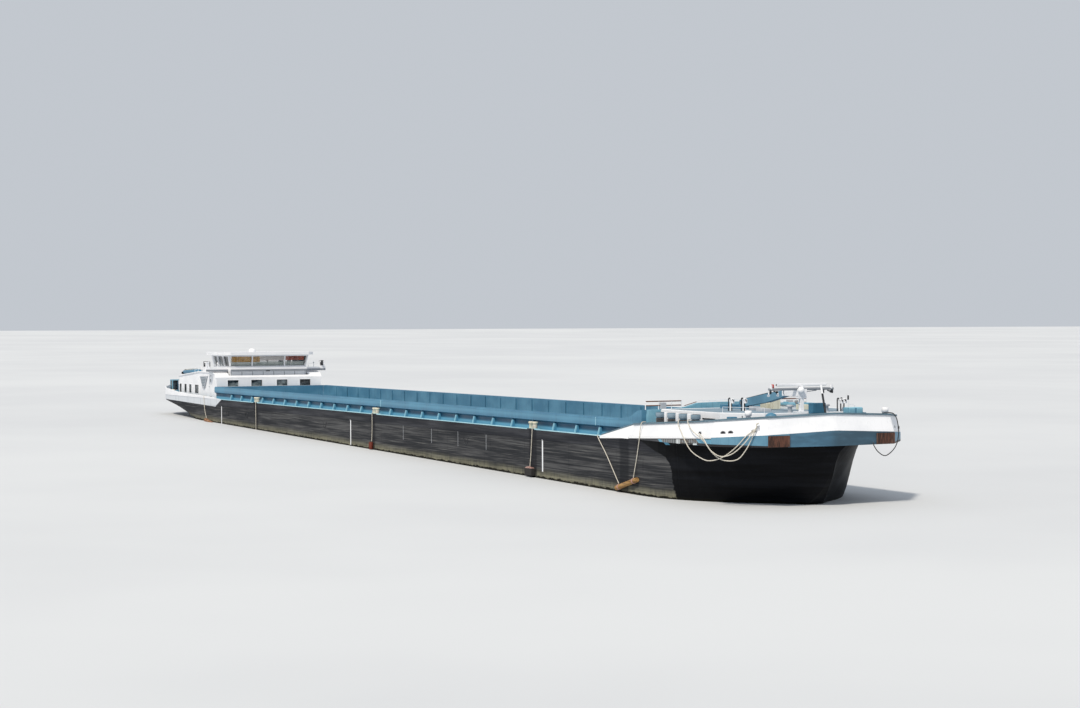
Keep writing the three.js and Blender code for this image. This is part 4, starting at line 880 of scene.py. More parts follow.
@dataclass
class RopesAndFenders:
    """The mooring ropes at the bow and the fenders hung over the side."""

    thick: float = 0.055
    thin: float = 0.05

    def build(self) -> None:
        """Makes the fenders and the ropes that hold them."""
        bow = [
            ("rope_bow_inner", [
                (81.75, -5.25, 5.065), (82.0, -5.42, 5.095), (82.25, -5.58, 5.095), (82.42, -5.69, 4.995),
                (82.53, -5.76, 4.9), (82.79, -5.78, 4.63), (83.11, -5.79, 4.28), (83.84, -5.79, 3.65),
                (84.86, -5.79, 3.3), (85.87, -5.79, 3.2), (86.39, -5.42, 3.37), (86.93, -4.95, 3.88),
                (87.33, -4.54, 4.49), *over_peg(-0.055),
            ]),
            ("rope_bow_middle", [
                (82.95, -5.3, 5.135), (83.15, -5.5, 5.155), (83.4, -5.68, 5.055), (84.0, -5.82, 4.7),
                (84.77, -5.87, 4.41), (85.4, -5.88, 4.15), (86.2, -5.74, 3.51), (86.56, -5.42, 3.25),
                (87.1, -4.95, 3.3), (87.4, -4.62, 3.79), (87.6, -4.36, 4.45), *over_peg(0.005),
            ]),
            ("rope_bow_outer", [
                (84.61, -5.745, 4.5), (84.85, -5.85, 4.53), (85.41, -5.95, 4.34), (86.14, -5.9, 3.72),
                (86.56, -5.6, 3.45), (86.97, -5.22, 3.56), (87.4, -4.8, 4.04), (87.7, -4.45, 4.6),
                *over_peg(0.065),
            ]),
        ]
        for name, points in bow:
            Rope(name, self.thick, Finish.ROPE, points).build()
        port = [
            (87.55, 3.42, 5.462), (87.76, 3.57, 5.48), (87.93, 3.69, 5.483), (88.05, 3.8, 5.42),
            (88.13, 3.9, 5.2), (88.12, 4.03, 4.65), (88.14, 4.0, 4.25), (88.27, 3.78, 3.84),
            (88.4, 3.35, 3.48), (88.45, 2.95, 3.33), (88.44, 2.6, 3.5), (88.38, 2.36, 3.82),
            (88.36, 2.3, 4.02),
        ]
        Rope("rope_bow_port", self.thick, Finish.DARK_ROPE, port).build()
        log_fender, block, small, bundle = self.log(), self.block(), self.small(), self.bundle()
        knot = self.knot()
        hung = [
            ("rope_aft", [
                (-5.05, -5.5, 4.078), (-5.04, -5.67, 4.079), (-5.03, -5.742, 4.075), (-5.02, -5.755, 4.0),
                (-5.0, -5.756, 3.9), (-4.85, -5.76, 3.3), (-4.5, -5.79, 2.7), (-3.95, -5.82, 2.14),
            ], FarEnd.FITTING, bundle),
            ("rope_side_aft", [
                *from_bollard(10.43), (10.43, -5.755, 3.2), (10.45, -5.755, 2.5), (10.45, -5.755, 1.75),
            ], FarEnd.KNOT, knot),
            ("rope_side_middle", [
                *from_bollard(37.82), (37.82, -5.755, 3.2), (37.82, -5.77, 2.5), (37.82, -5.8, 1.97),
            ], FarEnd.FITTING, small),
            ("rope_side_fore", [
                *from_bollard(64.73), (64.65, -5.76, 3.2), (64.58, -5.78, 2.4), (64.55, -5.83, 1.73),
            ], FarEnd.FITTING, block),
            ("rope_log_aft", [
                (73.2, -5.55, 3.929), (73.24, -5.69, 3.937), (73.29, -5.752, 3.93), (73.4, -5.758, 3.8),
                (74.4, -5.78, 2.95), (75.3, -5.81, 2.1), (76.0, -5.833, 1.42),
            ], FarEnd.FITTING, log_fender),
            ("rope_log_fore", [
                (78.42, -5.45, 4.864), (78.41, -5.6, 4.868), (78.39, -5.67, 4.84), (78.36, -5.72, 4.65),
                (78.3, -5.757, 4.2), (78.25, -5.76, 3.9), (78.0, -5.79, 2.9), (77.7, -5.833, 1.84),
            ], FarEnd.OBJECT, None),
        ]
        for name, points, end, piece in hung:
            Rope(name, self.thin, Finish.ROPE, points, end, [piece] if piece else []).build()

    def log(self) -> str:
        """Puts rope turns round the log fender, a CAD node, and returns its name."""
        start, stop = Vector((75.75, -5.833, 1.17)), Vector((78.1, -5.833, 1.76))
        way = stop - start
        long = way.length
        turns = Shape()
        rows = [(0, 0.13), (0.012, 0.16), (0.035, 0.16), (0.047, 0.13)]
        for reach in (0.26, 0.31, long - 0.42, long - 0.36):
            turns.turn(rows, start + way * reach / long, way, 14)
        turns.piece("log_lashings", Finish.LASHING)
        dress(Finish.LOG, "fender_log")
        return "fender_log"

    def block(self) -> bpy.types.Object:
        """Returns the block fender: rubber, its corners rounded, with a lashing over it."""
        shape = Shape().box((64.06, 65.04), (-5.99, -5.699), (1.165, 1.6), 0.05)
        made = shape.piece("block_rubber", Finish.RUBBER)
        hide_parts("fender_block")
        lashing = Shape()
        for fwd in (64.2, 64.5, 64.86):
            lashing.tube([(fwd, -5.86, 1.6), (fwd + 0.03, -5.9, 1.66), (64.55, -5.86, 1.69)], 0.028, 6)
        lashing.box((64.12, 64.98), (-5.95, -5.75), (1.59, 1.65), 0.02)
        lashing.piece("block_lashing", Finish.LASHING)
        return made

    def small(self) -> bpy.types.Object:
        """Returns the small fender amidships."""
        rows = [(0.0, 0.1), (0.04, 0.15), (0.25, 0.158), (0.5, 0.15), (0.54, 0.08)]
        shape = Shape().turn(rows, (37.82, -5.858, 1.4), UP, 14)
        made = shape.piece("small_fender", Finish.MAHOGANY)
        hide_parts("fender_small")
        return made

    def bundle(self) -> str:
        """Puts rope bands round the fender on the quarter, a CAD node, and returns its name."""
        start, stop = Vector((-4.05, -5.87, 1.97)), Vector((-1.95, -5.87, 1.7))
        way = (stop - start).normalized()
        bands = Shape()
        rows = [(0, 0.165), (0.02, 0.19), (0.06, 0.19), (0.08, 0.165)]
        for reach in (0.35, 1.05, 1.75):
            bands.turn(rows, start + way * reach, way, 14)
        bands.piece("bundle_bands", Finish.LASHING)
        dress(Finish.BUNDLE, "fender_aft")
        return "fender_aft"

    def knot(self) -> bpy.types.Object:
        """Returns the knot in the end of the rope that holds nothing."""
        rows = [(-0.05, 0.02), (-0.03, 0.03), (0.0, 0.03), (0.04, 0.026)]
        return Shape().turn(rows, (10.45, -5.757, 1.72), UP, 10).piece("rope_end_knot", Finish.ROPE)


# The ship's own details


# A bollard's post, its foot to its head, and how far each of the two stands from the pair's middle
BOLLARD = [(0, 0.126), (0.3, 0.126), (0.31, 0.165), (0.405, 0.165), (0.42, 0.14)]
POST_SHIFTS = (-0.28, 0.28)


@dataclass
class SideDetails:
    """What is welded and painted along both sides: deck edges, bollards, gauge strips and mooring eyes."""

    edge: Range = (5.655, 5.72)
    run: Range = (-0.2, 73.6)
    bollards: tuple[float, ...] = (10.15, 38.1, 64.45)
    strips: tuple[Point, ...] = ((0.35, 1.72, 3.32), (33.22, 1.5, 3.55), (66.03, 1.47, 3.53))
    eyes: tuple[float, ...] = (2.2, 7.7, 27.5, 54.6)
    welds: tuple[float, ...] = (43.7, 48.8, 53.3, 57.8)
    ledge: Range = (3.31, 3.33)

    def build(self) -> None:
        """Makes the side details of both sides."""
        self.decks()
        self.posts()
        self.marks()
        self.rings()

    def decks(self) -> None:
        """Lays the pale side decks and the bright bar on their outer edge."""
        deck, edge = Shape(), Shape()
        for side in SIDES:
            deck.box((-3.2, 77.6), (5.0 * side, 5.6 * side), (DECK, DECK + 0.008))
            port = (self.edge[0] * side, self.edge[1] * side)
            edge.box(self.run, port, (DECK - 0.01, DECK + 0.05), 0.012)
            edge.box(self.run, (5.6 * side, 5.66 * side), (DECK, DECK + 0.012))
        deck.piece("side_decks", Finish.SIDE_DECK)
        edge.piece("deck_edge_bars", Finish.EDGE)

    def posts(self) -> None:
        """Paints the side bollards cream, with a rope's turns on the starboard ones."""
        shell, turns, beds = Shape(), Shape(), Shape()
        for side in SIDES:
            for fwd in self.bollards:
                for shift in POST_SHIFTS:
                    foot = (fwd + shift, 5.555 * side, DECK + 0.05)
                    shell.turn(BOLLARD, foot, UP, 20)
                    if side < 0 and shift > 0:
                        starts = [0.06 + i * 0.045 for i in range(4)]
                        bands = [row for low in starts for row in ((low, 0.13), (low + 0.0225, 0.15))]
                        turns.turn([*bands, (0.24, 0.13)], foot, UP, 18)
                bed = about(fwd, 0.51), (5.38 * side, 5.72 * side), (DECK + 0.01, DECK + 0.068)
                beds.box(*bed, 0.01)
        shell.piece("side_bollard_paint", Finish.CREAM)
        beds.piece("side_bollard_beds", Finish.EDGE)
        turns.piece("side_bollard_turns", Finish.ROPE)

    def marks(self) -> None:
        """Makes the white gauge strips and the welded bars, broken at the ledge under the sheer strake."""
        strips, bars = Shape(), Shape()
        for side in SIDES:
            for fwd, low, high in self.strips:
                wide = about(fwd, 0.075)
                strips.box(wide, (SKIN[0] * side, 5.703 * side), (low, min(high, self.ledge[0])))
                if high > self.ledge[1]:
                    strips.box(wide, (5.7 * side, SKIN[1] * side), (self.ledge[1], high))
            for fwd in self.welds:
                bars.box(about(fwd, 0.015), (SKIN[0] * side, 5.7 * side), (2.35, self.ledge[0]))
                bars.box(about(fwd, 0.015), (5.715 * side, SKIN[1] * side), (3.34, DECK))
        strips.piece("gauge_strips", Finish.WHITE)
        bars.piece("plate_butts", Finish.GREY)

    def rings(self) -> None:
        """Hangs a wide iron loop between two pads at each station."""
        eyes = Shape()
        for side in SIDES:
            for fwd in self.eyes:
                turns = [math.pi * (1 + k / 16) for k in range(17)]
                loop = [(fwd + 0.34 * math.cos(a), 5.706 * side, 2.95 + 0.42 * math.sin(a)) for a in turns]
                eyes.tube(loop, 0.018, 6)
                for pad in (fwd - 0.34, fwd + 0.34):
                    eyes.box(about(pad, 0.05), (SKIN[0] * side, 5.72 * side), (2.9, 3.0), 0.01)
        eyes.piece("mooring_eyes", Finish.IRON)


@dataclass
class CoamingDetails:
    """The rounded rail on the coaming, its joints and the hold's ladders."""

    run: Range = (-3.2, 76.0)
    joints: tuple[float, ...] = (38.25, 72.1)
    ladders: tuple[tuple[float, int], ...] = ((-3.28, 1), (77.58, -1))

    def build(self) -> None:
        """Makes the coaming's details."""
        rail, joint, ladder = Shape(), Shape(), Shape()
        for side in SIDES:
            rail.tube([(self.run[0], 5.2 * side, 4.935), (self.run[1], 5.2 * side, 4.935)], 0.02, 10)
            for fwd in self.joints:
                joint.box(about(fwd, 0.015), (5.2 * side, 5.275 * side), (4.44, 4.9))
        for fwd, way in self.ladders:
            for port in (-4.3, -3.9):
                ladder.tube([(fwd + 0.1 * way, port, 0.75), (fwd + 0.1 * way, port, 4.9)], 0.025, 6)
            for step in range(14):
                up = 0.95 + step * 0.29
                ladder.tube([(fwd + 0.1 * way, -4.3, up), (fwd + 0.1 * way, -3.9, up)], 0.016, 6)
            for up in (0.9, 2.8, 4.7):
                for port in (-4.3, -3.9):
                    ladder.tube([(fwd - 0.02 * way, port, up), (fwd + 0.1 * way, port, up)], 0.018, 6)
        rail.piece("coaming_rails", Finish.TEAL)
        joint.piece("coaming_joints", Finish.EDGE)
        ladder.piece("hold_ladders", Finish.ZINC)
        self.walls()

    def walls(self) -> None:
        """Puts flat stiffeners on the hold's walls, with a bar along their foot."""
        bars = Shape()
        for side in SIDES:
            for i in range(28):
                fwd = 0.4 + i * 2.76
                bars.box(about(fwd, 0.03), (4.955 * side, 4.992 * side), (3.95, 4.86))
            bars.box((-3.25, 77.55), (4.96 * side, 4.992 * side), (3.86, 3.93))
        bars.piece("coaming_stiffeners", Finish.TEAL_DARK)


# By distance forward: the platform's and the bulwark's heights over the deck, and how far the bow's
# outline has drawn in from the full beam; then how far the bulwark leans in for each metre it rises,
# and the staff's foot and head
PLATFORM = [(77.9, 0.17), (84.4, 0.39), (86.0, 0.46), (88.1, 0.62), (88.5, 0.78)]
BULWARK = [(73.6, 0.04), (77.2, 0.77), (78.7, 0.86), (84.4, 1.17), (88.0, 1.42), (88.5, 1.59)]
DRAWN_IN = [(77.9, 0.0), (85.8, 0.0), (86.25, 0.25), (88.1, 1.955), (88.5, 5.6)]
LEAN = 0.3
STAFF = (Vector((87.8, 0.0, 4.5)), Vector((87.1, 0.0, 6.95)))


@dataclass
class Fairleads:
    """The half-round mouths that ropes pass through, all at one height above the platform."""

    leads: tuple[tuple[float, float], ...] = ((84.63, -5.72), (86.38, -5.36), (86.67, -5.09), (87.55, -4.27))
    above: float = 0.21

    def build(self) -> None:
        """Sets an oval fairlead with a pale rim at each place on the bulwark, its mouth filled by a black oval
        as painted shade.
        """
        rims, shade_plugs = Shape(), Shape()
        for side in SIDES:
            for fwd, port in self.leads:
                out = Vector((0.0, -1.0, 0.05)) if fwd < 85.8 else Vector((0.678, -0.735, 0.05))
                out.y *= -side
                spot = Vector((fwd, -port * side, DECK + along(PLATFORM, fwd) + self.above))
                spot -= Vector((out.x, out.y, 0)) * LEAN * self.above
                run = Vector((out.y, -out.x, 0)).normalized()
                # The black oval in each mouth is painted shade in the opening
                for shape, size, near, far in ((rims, 0.12, -0.02, 0.012), (shade_plugs, 0.09, -0.02, 0.018)):
                    turns = [2 * math.pi * k / 20 for k in range(20)]
                    flat = [(math.cos(a) * 1.3, max(math.sin(a), -0.35)) for a in turns]
                    oval = [(run * x + Vector(UP) * z) * size for x, z in flat]
                    shape.skin([spot + out * reach + edge for reach in (near, far) for edge in oval], 20)
        rims.piece("fairlead_rims", Finish.GREY)
        shade_plugs.piece("fairlead_mouth_shade", Finish.BLACK)


@dataclass
class Foredeck:
    """What stands on the bow: bulwark brackets, drum windings, railings, boxes and vents."""

    drums: tuple[float, ...] = (79.1, 80.37, 81.63, 82.9)
    drum_line: float = 4.92
    pitch: float = 0.055
    trunk: float = TRUNK_TOP
    hold_rail: float = 77.75

    def build(self) -> None:
        """Makes the foredeck's details."""
        self.brackets()
        self.foot()
        self.windings()
        self.deck()
        self.rails()
        self.boxes()
        self.vents()
        self.winch()

    def deck(self) -> None:
        """Lays the deck paint on the trunk and the dark scuppers and seams on its side."""
        top, seams = Shape(), Shape()
        outline = [(78.32, 4.4), (84.18, 4.2), (86.34, 2.88), (86.34, -2.88), (84.18, -4.2), (78.32, -4.4)]
        top.prism(outline, 2, self.trunk - 0.01, self.trunk + 0.012)
        top.piece("trunk_deck", Finish.TRUNK_DECK)
        for side in SIDES:
            seams.box((82.56, 83.79), (4.28 * side, 4.345 * side), (5.14, 5.2))
            seams.box((85.28, 85.32), (3.475 * side, 3.587 * side), (4.6, 5.4))
        seams.piece("trunk_seams", Finish.IRON)
        rim = Shape()
        for a, b in zip(outline, outline[1:] + outline[:1]):
            rim.tube([(*a, self.trunk + 0.005), (*b, self.trunk + 0.005)], 0.03, 6)
        rim.piece("trunk_rim", Finish.WHITE)

    def brackets(self) -> None:
        """Welds triangular brackets inside the bulwark."""
        shape = Shape()
        for side in SIDES:
            for k in range(9):
                fwd = 78.6 + k * 0.88
                foot = DECK + along(PLATFORM, fwd)
                head = DECK + along(BULWARK, fwd) - 0.05
                half = HALF_BEAM - along(DRAWN_IN, fwd) - 0.12
                lean = LEAN * (head - foot)
                corners = ((half - 0.02, foot), (half - 0.38, foot), (half - lean - 0.02, head))
                shape.prism([(port * side, up) for port, up in corners], 0, fwd - 0.02, fwd + 0.02)
        shape.piece("bulwark_brackets", Finish.WHITE)

    def foot(self) -> None:
        """Closes the bulwark's foot over the deck's step and caps its slope down to the side deck."""
        white, low, rail = Shape(), Shape(), Shape()
        for side in SIDES:
            skin = (SKIN[0] * side, SKIN[1] * side)
            white.prism([(77.0, 3.946), (78.2, 3.985), (78.2, 4.12), (77.0, 4.12)], 1, *skin)
            low.prism([(77.0, 3.8), (78.2, 3.8), (78.2, 3.985), (77.0, 3.946)], 1, *skin)
            rail.tube([(73.65, 5.66 * side, 3.97), (77.2, 5.45 * side, 4.71)], 0.06, 8)
        white.piece("bulwark_foot", Finish.WHITE)
        low.piece("bulwark_foot_strake", Finish.HULL)
        rail.piece("slope_cap_rail", Finish.RAIL)

    def windings(self) -> None:
        """Winds dark rope on the drums under their covers, and stands a white stopper between each two."""
        rope, white, cover = Shape(), Shape(), Shape()
        for side in SIDES:
            for fwd in self.drums:
                foot = DECK + along(PLATFORM, fwd)
                turns = int((5.12 - foot) / self.pitch) - 1
                rows = [(0.0, 0.205)]
                for k in range(turns):
                    rows += [(0.02 + k * self.pitch, 0.235), (0.0475 + k * self.pitch, 0.247)]
                rows += [(0.05 + turns * self.pitch, 0.205)]
                rope.turn(rows, (fwd, self.drum_line * side, foot + 0.02), UP, 24)
                lid = [(0.0, 0.24), (0.02, 0.252), (0.23, 0.252), (0.25, 0.24)]
                cover.turn(lid, (fwd, self.drum_line * side, 5.15), UP, 24)
            for fwd, half in ((79.74, 0.11), (81.0, 0.13), (82.27, 0.17)):
                base = DECK + along(PLATFORM, fwd)
                white.box((fwd - half, fwd + half), (4.86 * side, 5.0 * side), (base, 5.42), 0.03)
        rope.piece("drum_windings", Finish.WINDING)
        white.piece("drum_stoppers", Finish.WHITE)
        cover.piece("drum_covers", Finish.TRUNK_DECK)

    def rails(self) -> None:
        """Makes the railing on the hold's fore end and the low rails of the trunk."""
        rust, white, grey = Shape(), Shape(), Shape()
        edge = ((5.1, 5.48), (4.3, 5.48), (3.5, 5.49), (2.9, 5.55))
        for side in SIDES:
            spots = [(self.hold_rail, port * side, up) for port, up in edge]
            for spot in spots:
                white.tube([spot, (*spot[:2], 5.95)], 0.028, 8)
            for up in (5.7, 5.93):
                rust.tube([(x, y, up) for x, y, _ in spots], 0.032, 8)
            grey.box((77.66, 77.84), (4.2 * side, 3.86 * side), (5.5, 5.86), 0.02)
            rust.tube([(self.hold_rail, 2.7 * side, 5.66), (self.hold_rail, 1.95 * side, 5.86)], 0.02, 6)
        ports = [-1.9 + 0.38 * k for k in range(11)]
        tops = [(self.hold_rail, port, 5.83 if abs(port) < 0.7 else 5.8) for port in ports]
        white.railing(tops, 0.12, 0.016, 1)
        for side in SIDES:
            stanchions = ((83.9, 3.9), (85.2, 3.3), (86.1, 2.75))
            white.railing([(fwd, port * side, self.trunk) for fwd, port in stanchions], 0.3, 0.014, 1)
        rust.piece("fore_rail_bars", Finish.RUST)
        white.piece("fore_rail_posts", Finish.WHITE)
        grey.piece("fore_rail_boxes", Finish.GREY)

    def boxes(self) -> None:
        """Sets the lockers, vents and small machinery out on the trunk and by the bulwark."""
        cream, teal, grey = Shape(), Shape(), Shape()
        cream.box((79.95, 80.65), (0.75, 1.35), (self.trunk, 5.82), 0.03)
        cream.box((80.85, 81.25), (0.8, 1.25), (self.trunk, 6.08), 0.03)
        cream.box((82.2, 82.7), (1.6, 2.1), (self.trunk, 5.78), 0.03)
        teal.box((78.5, 79.15), (-0.9, 0.9), (self.trunk, 5.72), 0.03)
        teal.turn([(0, 0.28), (0.3, 0.28), (0.36, 0.2)], (84.4, -4.75, 4.5), UP, 18)
        teal.box((85.3, 85.7), (-4.5, -4.1), (4.5, 5.36), 0.03)
        teal.box((84.9, 85.2), (4.1, 4.5), (4.5, 5.3), 0.03)
        teal.turn([(0, 0.3), (0.5, 0.3), (0.62, 0.22), (0.68, 0.05)], (86.75, -2.75, 4.9), UP, 18)
        grey.box((81.6, 82.0), (-0.95, -0.5), (self.trunk, 5.72), 0.03)
        grey.box((83.2, 83.8), (-1.5, -0.9), (self.trunk, 5.66), 0.03)
        for port in (-1.1, 1.1):
            grey.turn([(0, 0.12), (0.3, 0.12), (0.34, 0.2), (0.42, 0.16)], (85.9, port, self.trunk), UP, 16)
        cream.piece("trunk_lockers", Finish.CREAM)
        teal.piece("trunk_casings", Finish.TEAL)
        grey.piece("trunk_fittings", Finish.GREY, slot="iron")

    def vents(self) -> None:
        """Puts dark pipes beside the goosenecks, a thin pole by the winch, and a dark tube round the staff's
        lower part as painted shade.
        """
        dark, white = Shape(), Shape()
        for fwd, port in ((82.2, -2.4), (82.5, -1.8), (85.2, 2.6), (85.5, 2.2)):
            for shift, high in ((-0.16, 0.6), (0.16, 0.52)):
                foot = Vector((fwd + shift, port - 0.05, self.trunk))
                turns = [math.pi * k / 8 for k in range(9)]
                bend = [foot + Vector((0.09 * (1 - math.cos(a)), 0, high + 0.09 * math.sin(a))) for a in turns]
                dark.tube([foot, *bend], 0.032, 8)
        white.tube([(85.75, 2.55, self.trunk), (85.75, 2.55, 6.32)], 0.03, 8)
        dark.tube([(85.75, 2.55, 6.12), (85.75, 2.55, 6.34)], 0.045, 8)
        # Painted shade: a dark tube round the staff's lower part stands for its shaded side
        staff_shade_run = [STAFF[0], STAFF[0].lerp(STAFF[1], 0.4), STAFF[0].lerp(STAFF[1], 0.82)]
        dark.tube(staff_shade_run, 0.062, 12, 0.054)
        dark.piece("vent_pipes_and_staff_shade", Finish.IRON)
        white.piece("light_pole", Finish.WHITE)

    def winch(self) -> None:
        """Rounds the winch's casings and winds chain on its drums."""
        caps, chain, dark, lids = Shape(), Shape(), Shape(), Shape()
        for port in ((1.33, 1.75), (1.81, 2.21)):
            caps.box((87.08, 87.62), port, (5.42, 5.78), 0.07)
            lids.box((87.12, 87.58), (port[0] + 0.04, port[1] - 0.04), (5.77, 5.79), 0.008)
        caps.piece("winch_casings", Finish.SIDE_DECK, slot="teal_paint")
        lids.piece("winch_lids", Finish.EDGE)
        for port in (1.44, 2.04):
            rows = [(0.0, 0.17)]
            for k in range(4):
                rows += [(0.01 + k * 0.045, 0.2), (0.033 + k * 0.045, 0.215)]
            chain.turn([*rows, (0.185, 0.17)], (87.35, port - 0.092, 5.1), (0, 1, 0), 20)
        chain.piece("winch_windings", Finish.ZINC, "winch_drum")
        dark.box((86.53, 86.95), (-0.4, 0.4), (5.5, 6.02), 0.03)
        dark.piece("motor_casing", Finish.TEAL_DARK)
        posts = Shape()
        for side in SIDES:
            rows = [(0.0, 0.13), (0.55, 0.13), (0.57, 0.178), (0.8, 0.178), (0.815, 0.15)]
            posts.turn(rows, (86.8, 4.12 * side, 4.9), UP, 20)
        posts.piece("shoulder_posts", Finish.WHITE)


@dataclass
class Mast:
    """Lamps, horns and cables on the folding foremast."""

    yard: float = 85.24
    up: float = 6.7

    def build(self) -> None:
        """Makes the mast's details."""
        self.yard_fittings()
        self.arm_fittings()
        self.scanner()

    def yard_fittings(self) -> None:
        """Puts the lamps and horns on the level head."""
        red, dark, grey, white = Shape(), Shape(), Shape(), Shape()
        lamp = [(0, 0.05), (0.03, 0.075), (0.17, 0.075), (0.2, 0.05)]
        red.turn(lamp, (self.yard, -1.72, 6.76), UP, 14)
        for port in (-1.85, 1.35, 1.9):
            dark.turn([(0, 0.04), (0.02, 0.055), (0.15, 0.06), (0.18, 0.04)], (self.yard, port, 6.46), UP, 12)
        for port in (-1.62, 1.65):
            dark.turn([(0, 0.03), (0.2, 0.035), (0.3, 0.075)], (self.yard - 0.05, port, 6.6), (1, 0, -0.15), 12)
        for port in (-1.95, -1.4):
            white.turn([(0, 0.03), (0.16, 0.035), (0.26, 0.08)], (self.yard, port, 6.52), (0.7, -0.5, -0.5), 12)
        dark.box((84.15, 84.75), (-0.2, 0.2), (6.3, 6.5), 0.02)
        grey.tube([(self.yard, -1.96, self.up), (self.yard, 1.96, self.up)], 0.068, 12)
        for side in SIDES:
            grey.tube([(self.yard - 0.1, side, 6.62), (84.0, 0.29 * side, 6.42)], 0.022, 6)
        red.piece("mast_red_lamp", Finish.RED, "foremast_head")
        white.piece("mast_loud_hailers", Finish.WHITE, "foremast_head")
        dark.piece("mast_lamps_horns", Finish.IRON, "foremast_head")
        grey.piece("mast_yard_paint", Finish.FASCIA, "foremast_head")

    def arm_fittings(self) -> None:
        """Lays the cables along the arm, hangs a lamp on its crutch and caps its pin."""
        cable, lamp = Shape(), Shape()
        for port in (-0.1, 0.0, 0.1):
            cable.tube([(79.95, port, 6.08), (82.0, port, 6.4), (83.7, port, 6.57)], 0.018, 6)
        cable.piece("arm_cables", Finish.BLACK, "foremast_arm", slot="iron")
        lamp.turn([(0, 0.07), (0.14, 0.09), (0.2, 0.05)], (85.24, -0.3, 5.95), UP, 14)
        lamp.tube([(85.24, -0.3, 5.95), (85.24, -0.05, 5.9)], 0.025, 6)
        lamp.piece("crutch_lamp", Finish.ZINC)
        pins = Shape()
        for port in (-0.31, 0.31):
            pins.turn([(-0.015, 0.09), (0.015, 0.09)], (79.7, port, 5.83), (0, 1, 0), 12)
        pins.piece("mast_pin_caps", Finish.ZINC)

    def scanner(self) -> None:
        """Rounds the scanner's bar."""
        bar = Shape().box(about(self.yard, 0.1), (-1.5, 1.5), (6.85, 6.998), 0.04)
        bar.piece("scanner_bar", Finish.WHITE, "radar_scanner")


